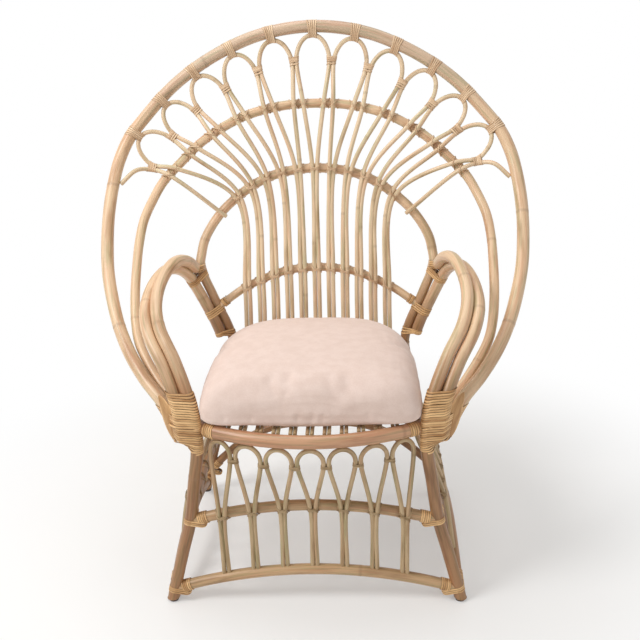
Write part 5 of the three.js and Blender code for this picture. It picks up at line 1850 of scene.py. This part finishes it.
class CHAIR_OT_apron_bindings(Undoable, bpy.types.Operator):
    """Makes the ties of the aprons: loop to loop, and to the middle stretchers"""

    bl_idname = "chair.apron_bindings"
    bl_label = "Apron bindings"

    def execute(self, context):
        chair = chair_in(context)
        sizes = chair.sizes.binding
        aprons = {"front": front_apron(chair)}
        aprons |= {side: side_apron(chair, sign) for side, sign in SIDES.items()}
        for start, (name, apron) in zip((500, 600, 700), aprons.items()):
            surface = Surface()
            for i, pair in enumerate(zip(apron.loops, apron.loops[1:])):
                place = apron.tie_point(i)
                bundle = Bundle.of(*(reaching(cane, place, sizes.apron_band, UPWARD) for cane in pair))
                wind(surface, bundle, sizes.tie_strip, sizes.thickness, start + i, around=24)
            for i, cane in enumerate(apron.loops):
                legs = [apron.crossing(i, sign) for sign in (-1, 1)]
                sections = crossing_sections(apron.middle, cane, legs)
                cross_tie(surface, sections, apron.outward, sizes, start + 20 + i)
            # The apron ties take the darker apron colours: painted shade under the seat.
            make_piece(chair, surface, f"apron_ties_{name}", "apron_tie")
        return {"FINISHED"}


class CHAIR_OT_joint_bindings(Undoable, bpy.types.Operator):
    """Makes the bindings at the seat's corners, at the arms' ends and round the stretchers' ends"""

    bl_idname = "chair.joint_bindings"
    bl_label = "Joint bindings"

    def execute(self, context):
        chair = chair_in(context)
        for side, sign in SIDES.items():
            self.bind_corner(chair, side, sign)
            self.bind_arm(chair, side, sign)
            self.bind_legs(chair, side, sign)
        return {"FINISHED"}

    def bind_corner(self, chair, side, sign):
        """Winds the poles and hoops together at a front corner, and the front rail's end beside them"""
        sizes = chair.sizes.binding
        level = chair.seat.rail_height
        surface = Surface()
        top = level + sizes.corner_above
        seed = 800 + (sign > 0)
        turns = {
            "width": sizes.strip,
            "thickness": sizes.thickness,
            "lean": sizes.corner_lean,
            "facing": sign * math.pi / 2,
            "around": 44,
            "air": COARSE_AIR,
        }
        whole = corner_bundle(chair, sign, level - sizes.corner_below, top, True)
        wind(surface, whole, seed=seed, lift=0.0005, **turns)
        overlap = 0.03
        arms = corner_bundle(chair, sign, top - overlap, level + sizes.arms_above, False)
        wind(surface, arms, seed=seed + 10, lift=0.001, **turns)
        rail = chair.front_rail.line
        beside_leg = chair.seat.front_half - chair.canes.arm - 0.006
        start = rail.distance_of(rail.part_where(0, sign * beside_leg))
        near, far = rail.part_of(start), rail.part_of(start - sign * sizes.rail_band)
        collar = Bundle.of((chair.front_rail, near, far))
        wind(surface, collar, sizes.strip, sizes.thickness, seed + 20)
        self.lay_strap(surface, chair, sign, seed + 30)
        node = "corner_binding_" + side
        make_piece(chair, surface, "corner_winding_" + side, "corner_strip", node)

    def lay_strap(self, surface, chair, sign, seed):
        """A leaf-shaped piece of cane over the windings, between the outer arm and the outer hoop.

        It lies on the belt's straight stretch from the one to the other, at the right corner first.
        """
        sizes = chair.sizes.binding
        level = chair.seat.rail_height
        rows, over_windings, bend = 40, 0.0045, 0.04
        heights = np.linspace(level + sizes.strap_high, level - sizes.strap_low, rows)
        above_tails = np.maximum(heights, chair.corner[2])
        arm, hoop = chair.outer_arm, chair.outer_hoop
        beside = arm.line.at(arm.line.part_where(2, above_tails, 0.0, 0.3))
        outside = hoop.line.at(hoop.line.part_where(2, above_tails, 1.0, 0.8))
        square = unit(np.cross(outside - beside, UPWARD))
        part = np.linspace(0.3, 0.45, rows)[:, None]
        places = mix(beside, outside, part) + square * (mix(arm.radius, hoop.radius, part) + over_windings)
        places[:, 2] = heights
        outward = unit(mix(square, FORWARD, 0.45))
        if sign < 0:
            places, outward = places * MIRROR, outward * MIRROR
        add_leaf(surface, places, outward, sizes.strap_width, sizes.strap_depth, bend, seed)

    def bind_arm(self, chair, side, sign):
        """Ties the arm poles to the back post at three heights"""
        sizes = chair.sizes.binding
        post, outer = chair.frame, on_side(chair.outer_arm, sign)
        pole = on_side(chair.front_pole, sign)
        bands = {
            "arm_end": (sizes.arm_end_height, sizes.arm_end_band),
            "lumbar_end": (sizes.lumbar_height, sizes.lumbar_band),
            "post": (sizes.low_height, sizes.low_band),
        }
        for i, (name, (height, band)) in enumerate(bands.items()):
            place = chair.post_point(height, sign)
            bundle = Bundle.of(*(reaching(cane, place, band, UPWARD) for cane in (post, outer)))
            surface = Surface()
            seed = 840 + 10 * i + (sign > 0)
            wind(surface, bundle, sizes.strip, sizes.thickness, seed, around=36, air=COARSE_AIR)
            if name == "arm_end":
                belt_joint(surface, post, pole.line.at(1.0), pole, -pole.line.along(0.99), sizes, seed + 5)
            if name == "lumbar_end":
                beside_post = post.radius + 0.003
                add_sleeve(surface, chair.lumbar, beside_post, sizes.lumbar_sleeve, sign > 0, sizes, seed)
            node = f"{name}_binding_{side}"
            make_piece(chair, surface, f"{name}_winding_{side}", "corner_strip", node)

    def bind_legs(self, chair, side, sign):
        """Binds the stretchers, the rear arch and the rear rail to the legs"""
        sizes, stretchers = chair.sizes.binding, chair.sizes.stretchers
        surface = Surface()
        leg = on_side(chair.front_pole, sign)
        on_right = sign > 0
        side_middle, side_bottom = on_side(chair.side_middle, sign), on_side(chair.side_bottom, sign)
        front_middle_place = chair.leg_point(stretchers.front_middle, sign)
        bottom_place = chair.leg_point(stretchers.bottom, sign)
        joints = [
            (leg, front_middle_place, chair.front_middle, on_right),
            (leg, bottom_place, chair.front_bottom, on_right),
            (leg, front_middle_place, side_middle, False),
            (leg, bottom_place, side_bottom, False),
            (chair.frame, chair.post_point(stretchers.side_rear, sign), side_middle, True),
            (chair.frame, chair.post_point(stretchers.bottom, sign), side_bottom, True),
            (chair.frame, chair.post_point(stretchers.arch_foot, sign), chair.rear_arch, on_right),
            (chair.frame, chair.post_point(chair.rail_level, sign), chair.rear_rail, on_right),
        ]
        for i, (pole, place, stretcher, at_end) in enumerate(joints):
            bind_joint(surface, pole, place, stretcher, at_end, sizes, 900 + 20 * on_right + i)
        make_piece(chair, surface, "leg_windings_" + side, "corner_strip")


class CHAIR_OT_glides(Undoable, bpy.types.Operator):
    """Makes the four glides"""

    bl_idname = "chair.glides"
    bl_label = "Glides"

    def execute(self, context):
        chair = chair_in(context)
        height = chair.seat.glide_height
        for side, sign in SIDES.items():
            feet = {"front": chair.leg_point(height, sign), "rear": chair.post_point(height, sign)}
            for end, foot in feet.items():
                surface = Surface()
                self.add_disc(surface, foot, chair.seat.glide_radius, height - chair.canes.touch)
                name = f"{end}_glide_{side}"
                make_piece(chair, surface, name + "_disc", "glide", name)
        return {"FINISHED"}

    def add_disc(self, surface, foot, radius, height, around=40):
        """A disc with rounded edges: its profile of radius and height carried round the foot"""
        out, up = np.array(GLIDE_PROFILE_SHARES).T * np.array([[radius], [height]])
        angle = 2 * np.pi * np.arange(around) / around
        rows = np.empty((len(out), around, 3))
        rows[..., 0] = foot[0] + out[:, None] * np.cos(angle)
        rows[..., 1] = foot[1] + out[:, None] * np.sin(angle)
        rows[..., 2] = up[:, None]
        even = np.zeros(rows.shape[:2])
        surface.add(rows, rows, even, even)


class CHAIR_OT_cushion(Undoable, bpy.types.Operator):
    """Makes the seat cushion: swelled as cloth, then fitted between the poles"""

    bl_idname = "chair.cushion"
    bl_label = "Cushion"

    # How the cover behaves as cloth, and for how many frames it swells
    CLOTH = {
        "quality": 6,
        "mass": 0.3,
        "tension_stiffness": 20,
        "compression_stiffness": 20,
        "shear_stiffness": 12,
        "bending_stiffness": 2,
        "use_pressure": True,
        "uniform_pressure_force": 4,
    }
    FRAMES = 20

    def execute(self, context):
        chair = chair_in(context)
        base = chair.seat_level + chair.canes.touch
        cushion = self.cover(chair, base)
        self.remesh(context, cushion, chair.sizes.cushion.voxel)
        rest = vertices_of(cushion)
        self.swell(context, cushion)
        moved = vertices_of(cushion) - rest
        reach = np.linalg.norm(moved, axis=1, keepdims=True)
        moved *= np.minimum(1, chair.sizes.cushion.swell / np.maximum(reach, 1e-9))
        places = rest + moved - chair.shift
        places = self.fit(chair, places, base)
        places = self.crease(chair, places, base)
        cushion.data.vertices.foreach_set("co", (places + chair.shift).astype(np.float32).ravel())
        smoother = cushion.modifiers.new("Smoother", "SUBSURF")
        smoother.levels = smoother.render_levels = 1
        cushion.data.shade_smooth()
        return {"FINISHED"}

    def cover(self, chair, base, rings=60, around=240):
        """The cover before it swells.

        Its outline is two halves of superellipses, one round each half of the depth, with the front
        bowed forward by the cube of the sine. Each ring of its profile is that outline scaled and
        lifted.
        """
        sizes, fan = chair.sizes.cushion, Fan(chair)
        slack = sizes.slack
        half = chair.seat.front_half + sizes.side_reach - slack
        back = fan.front - fan.radius - sizes.back_gap - slack
        front = sizes.front + slack
        profile = Line([(out, up, 0) for out, up in CUSHION_PROFILE_SHARES])
        out, up, _ = profile.at(np.linspace(0, 1, rings)).T
        angle = 2 * np.pi * np.arange(around) / around
        across, along = np.cos(angle), np.sin(angle)
        depth = np.where(along < 0, sizes.widest - front, back - sizes.widest)
        power = np.where(along < 0, sizes.front_power, sizes.back_power)
        reach = ((np.abs(across) / half) ** power + (np.abs(along) / depth) ** power) ** (-1 / power)
        rows = np.empty((len(out), len(angle), 3))
        rows[..., 0] = out[:, None] * reach * across
        bow = sizes.front_bow * np.maximum(-along, 0) ** 3
        rows[..., 1] = out[:, None] * (reach * along - bow) + sizes.widest
        rows[..., 2] = base + up[:, None] * (sizes.thickness - slack)
        surface = Surface()
        even = np.zeros(rows.shape[:2])
        surface.add(rows, rows, even, even)
        return make_piece(chair, surface, "seat_cushion_cover", "cloth", "seat_cushion")

    def remesh(self, context, cushion, voxel):
        """Gives the cover an even mesh"""
        cushion.modifiers.new("Even", "REMESH").mode = "VOXEL"
        cushion.modifiers["Even"].voxel_size = voxel
        keep_modified(context, cushion)

    def swell(self, context, cushion):
        """Fills the cover with air as cloth that keeps its size, then evens out its folds"""
        cloth = cushion.modifiers.new("Filling", "CLOTH").settings
        for name, setting in self.CLOTH.items():
            setattr(cloth, name, setting)
        cloth.effector_weights.gravity = 0
        for step in range(self.FRAMES):
            context.scene.frame_set(step + 1)
        evener = cushion.modifiers.new("Evener", "SMOOTH")
        evener.factor = 0.5
        evener.iterations = 14
        keep_modified(context, cushion)
        context.scene.frame_set(1)

    def fit(self, chair, places, base):
        """Lays the cover flat on the seat and keeps it off the poles and their windings.

        Near a pole, the distance from its axis becomes the eighth root of the sum of the eighth
        powers of itself and of the clearance, so the cover is dented smoothly.
        """
        places[:, 2] = np.maximum(places[:, 2], base)
        sizes = chair.sizes.binding
        winding_room = 1.6 * sizes.thickness
        clearance = chair.canes.arm + winding_room + chair.canes.touch
        stretches = ((chair.front_pole, chair.leg_end * 0.8, 0.75), (chair.outer_arm, 0.0, 0.3))
        for pole, start, end in stretches:
            axis = pole.line.at(np.linspace(start, end, 200))
            for sign in SIDES.values():
                middle = np.stack([
                    sign * np.interp(places[:, 2], axis[:, 2], axis[:, 0]),
                    np.interp(places[:, 2], axis[:, 2], axis[:, 1]),
                ], axis=1)
                away = places[:, :2] - middle
                apart = np.maximum(np.linalg.norm(away, axis=1, keepdims=True), 1e-6)
                kept = (apart**8 + clearance**8) ** (1 / 8)
                near = apart < 3 * clearance
                places[:, :2] = np.where(near, middle + away * (kept / apart), places[:, :2])
        return places

    def crease(self, chair, places, base):
        """Presses in the seam round the cushion and the puckers along its front.

        With h the height above the seam and s the distance across from a pucker, the cloth goes in by
        seam depth * exp(-(h / seam width)^2), and in front by
        pucker depth * exp(-(h / pucker reach)^2 - (s / pucker width)^2). The puckers fade out behind
        the front edge.
        """
        sizes = chair.sizes.cushion
        above = places[:, 2] - base - sizes.seam_height
        pressed = sizes.seam_depth * np.exp(-((above / sizes.seam_width) ** 2))
        fade_start, fade_length = 0.03, 0.01
        in_front = 0.5 - 0.5 * np.tanh((places[:, 1] - sizes.front - fade_start) / fade_length)
        for pucker in PUCKERS:
            aside = places[:, 0] - pucker * chair.seat.front_half
            fold = np.exp(-((above / sizes.pucker_reach) ** 2) - (aside / sizes.pucker_width) ** 2)
            pressed += sizes.pucker_depth * fold * in_front
        inward = unit(np.array([0, sizes.widest, 0]) - places * (1, 1, 0))
        return places + inward * pressed[:, None]


def vertices_of(piece):
    """A mesh's vertices as an array"""
    places = np.empty(3 * len(piece.data.vertices), np.float32)
    piece.data.vertices.foreach_get("co", places)
    return places.reshape(-1, 3).astype(float)


def keep_modified(context, piece):
    """Makes what the modifiers show the piece's own mesh, and removes the modifiers"""
    shown = piece.evaluated_get(context.evaluated_depsgraph_get())
    made = bpy.data.meshes.new_from_object(shown)
    made.name = piece.name
    piece.modifiers.clear()
    piece.data = made


# Each lamp's place and diameter in metres and its power in watts
LAMPS = {
    "key": ((-2.3, -1.3, 3.0), 1.5, 66.0),
    "fill": ((2.4, -2.4, 1.4), 1.6, 7.0),
    "top": ((-0.4, 0.5, 3.4), 1.8, 26.0),
}
# The light from all round: its colour and its strength
ROOM_LIGHT = (1.0, 0.985, 0.97, 1)
ROOM_STRENGTH = 0.46


class CHAIR_OT_stage(Undoable, bpy.types.Operator):
    """Makes the floor, the light and the camera"""

    bl_idname = "chair.stage"
    bl_label = "Stage"

    def execute(self, context):
        chair = chair_in(context)
        self.lay_floor(context, chair)
        self.light_room(context)
        self.hang_lamps(context)
        self.set_camera(context, chair)
        context.scene.view_settings.view_transform = "Standard"
        return {"FINISHED"}

    def lay_floor(self, context, chair, reach=14.0):
        """A square floor under the chair"""
        mesh = bpy.data.meshes.new("floor")
        corners = [(x * reach, y * reach, 0) for x, y in ((-1, -1), (1, -1), (1, 1), (-1, 1))]
        mesh.from_pydata(corners, [], [(0, 1, 2, 3)])
        mesh.materials.append(finish_for(chair, "floor"))
        floor = bpy.data.objects.new("floor", mesh)
        context.scene.collection.objects.link(floor)
        floor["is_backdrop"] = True

    def light_room(self, context):
        """Even light from all round, behind which the room looks white"""
        world = bpy.data.worlds.new("room")
        world.use_nodes = True
        nodes, links = world.node_tree.nodes, world.node_tree.links
        even = nodes["Background"]
        even.inputs["Color"].default_value = ROOM_LIGHT
        even.inputs["Strength"].default_value = ROOM_STRENGTH
        white = nodes.new("ShaderNodeBackground")
        white.inputs["Color"].default_value = (1, 1, 1, 1)
        rays = nodes.new("ShaderNodeLightPath")
        most = even
        for kind in ("Is Camera Ray", "Is Glossy Ray", "Is Transmission Ray"):
            mixed = nodes.new("ShaderNodeMixShader")
            links.new(rays.outputs[kind], mixed.inputs[0])
            links.new(most.outputs[0], mixed.inputs[1])
            links.new(white.outputs[0], mixed.inputs[2])
            most = mixed
        links.new(most.outputs[0], nodes["World Output"].inputs["Surface"])
        context.scene.world = world

    def hang_lamps(self, context):
        """Soft lamps: one in front on the left, a weaker one on the right and one above the back"""
        target = np.array([0, 0, 0.6])
        for name, (place, size, power) in LAMPS.items():
            lamp = bpy.data.lights.new(name, "AREA")
            lamp.shape = "DISK"
            lamp.size = size
            lamp.energy = power
            holder = bpy.data.objects.new(name, lamp)
            back = unit(np.array(place) - target)
            side = unit(np.cross(UPWARD, back))
            holder.matrix_world = turned_matrix(side, np.cross(back, side), back, place)
            context.scene.collection.objects.link(holder)

    def set_camera(self, context, chair):
        """The camera looks down at the chair from the front, a little from the right and slightly rolled"""
        view = chair.sizes.view
        yaw, pitch, roll = view.yaw, view.pitch, view.roll
        ahead = np.array([
            -math.sin(yaw) * math.cos(pitch),
            math.cos(yaw) * math.cos(pitch),
            -math.sin(pitch),
        ])
        right = np.array([math.cos(yaw), math.sin(yaw), 0])
        above = np.cross(right, ahead)
        rolled_right = math.cos(roll) * right - math.sin(roll) * above
        rolled_above = math.sin(roll) * right + math.cos(roll) * above
        lens = bpy.data.cameras.new("camera")
        lens.lens = view.lens
        lens.sensor_width = 36
        camera = bpy.data.objects.new("camera", lens)
        place = np.array([view.across, -view.distance, view.height]) + chair.shift
        camera.matrix_world = turned_matrix(rolled_right, rolled_above, -ahead, place)
        context.scene.collection.objects.link(camera)
        context.scene.camera = camera


def turned_matrix(right, above, back, place):
    """The matrix of a lamp or camera from its three directions and its place"""
    rows = np.eye(4)
    rows[:3, :3] = np.stack([right, above, back], axis=1)
    rows[:3, 3] = place
    return Matrix(rows.tolist())


OPERATORS = (
    CHAIR_OT_hoops,
    CHAIR_OT_back_frame,
    CHAIR_OT_arms,
    CHAIR_OT_seat_rails,
    CHAIR_OT_stretchers,
    CHAIR_OT_fan,
    CHAIR_OT_aprons,
    CHAIR_OT_seat_canes,
    CHAIR_OT_fan_bindings,
    CHAIR_OT_apron_bindings,
    CHAIR_OT_joint_bindings,
    CHAIR_OT_cushion,
    CHAIR_OT_glides,
    CHAIR_OT_stage,
)


class CHAIR_PT_sidebar(bpy.types.Panel):
    """Lists the operators and the sizes"""

    bl_idname = "CHAIR_PT_sidebar"
    bl_label = "Peacock chair"
    bl_space_type = "VIEW_3D"
    bl_region_type = "UI"
    bl_category = "Chair"

    def draw(self, context):
        column = self.layout.column(align=True)
        for operator in OPERATORS:
            column.operator(operator.bl_idname)
        chair = context.scene.peacock_chair
        for name in SIZE_GROUPS:
            box = self.layout.box()
            box.label(text=chair.bl_rna.properties[name].name)
            group = getattr(chair, name)
            for each in group.bl_rna.properties:
                if each.identifier not in ("name", "rna_type"):
                    box.prop(group, each.identifier)


# Groups of sizes in the order in which the sidebar lists them
SIZE_GROUPS = tuple(PeacockChair.__annotations__)
CLASSES = (
    CaneSizes,
    SeatSizes,
    BackSizes,
    StretcherSizes,
    FanSizes,
    ApronSizes,
    CushionSizes,
    BindingSizes,
    ChairFinishes,
    ViewSizes,
    PeacockChair,
    *OPERATORS,
    CHAIR_PT_sidebar,
)


def register():
    """Adds the classes and the scene's sizes"""
    for each in CLASSES:
        bpy.utils.register_class(each)
    bpy.types.Scene.peacock_chair = PointerProperty(type=PeacockChair)


def unregister():
    """Removes what register added"""
    del bpy.types.Scene.peacock_chair
    for each in reversed(CLASSES):
        bpy.utils.unregister_class(each)


def main():
    """Makes the chair and its stage"""
    register()
    for operator in OPERATORS:
        group, name = operator.bl_idname.split(".")
        getattr(getattr(bpy.ops, group), name)()
    boxes = {"cad": CAD_BOX, "visual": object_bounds()}
    for name, corners in boxes.items():
        [[float(value) for value in corner] for corner in corners]


if __name__ == "__main__":
    main()
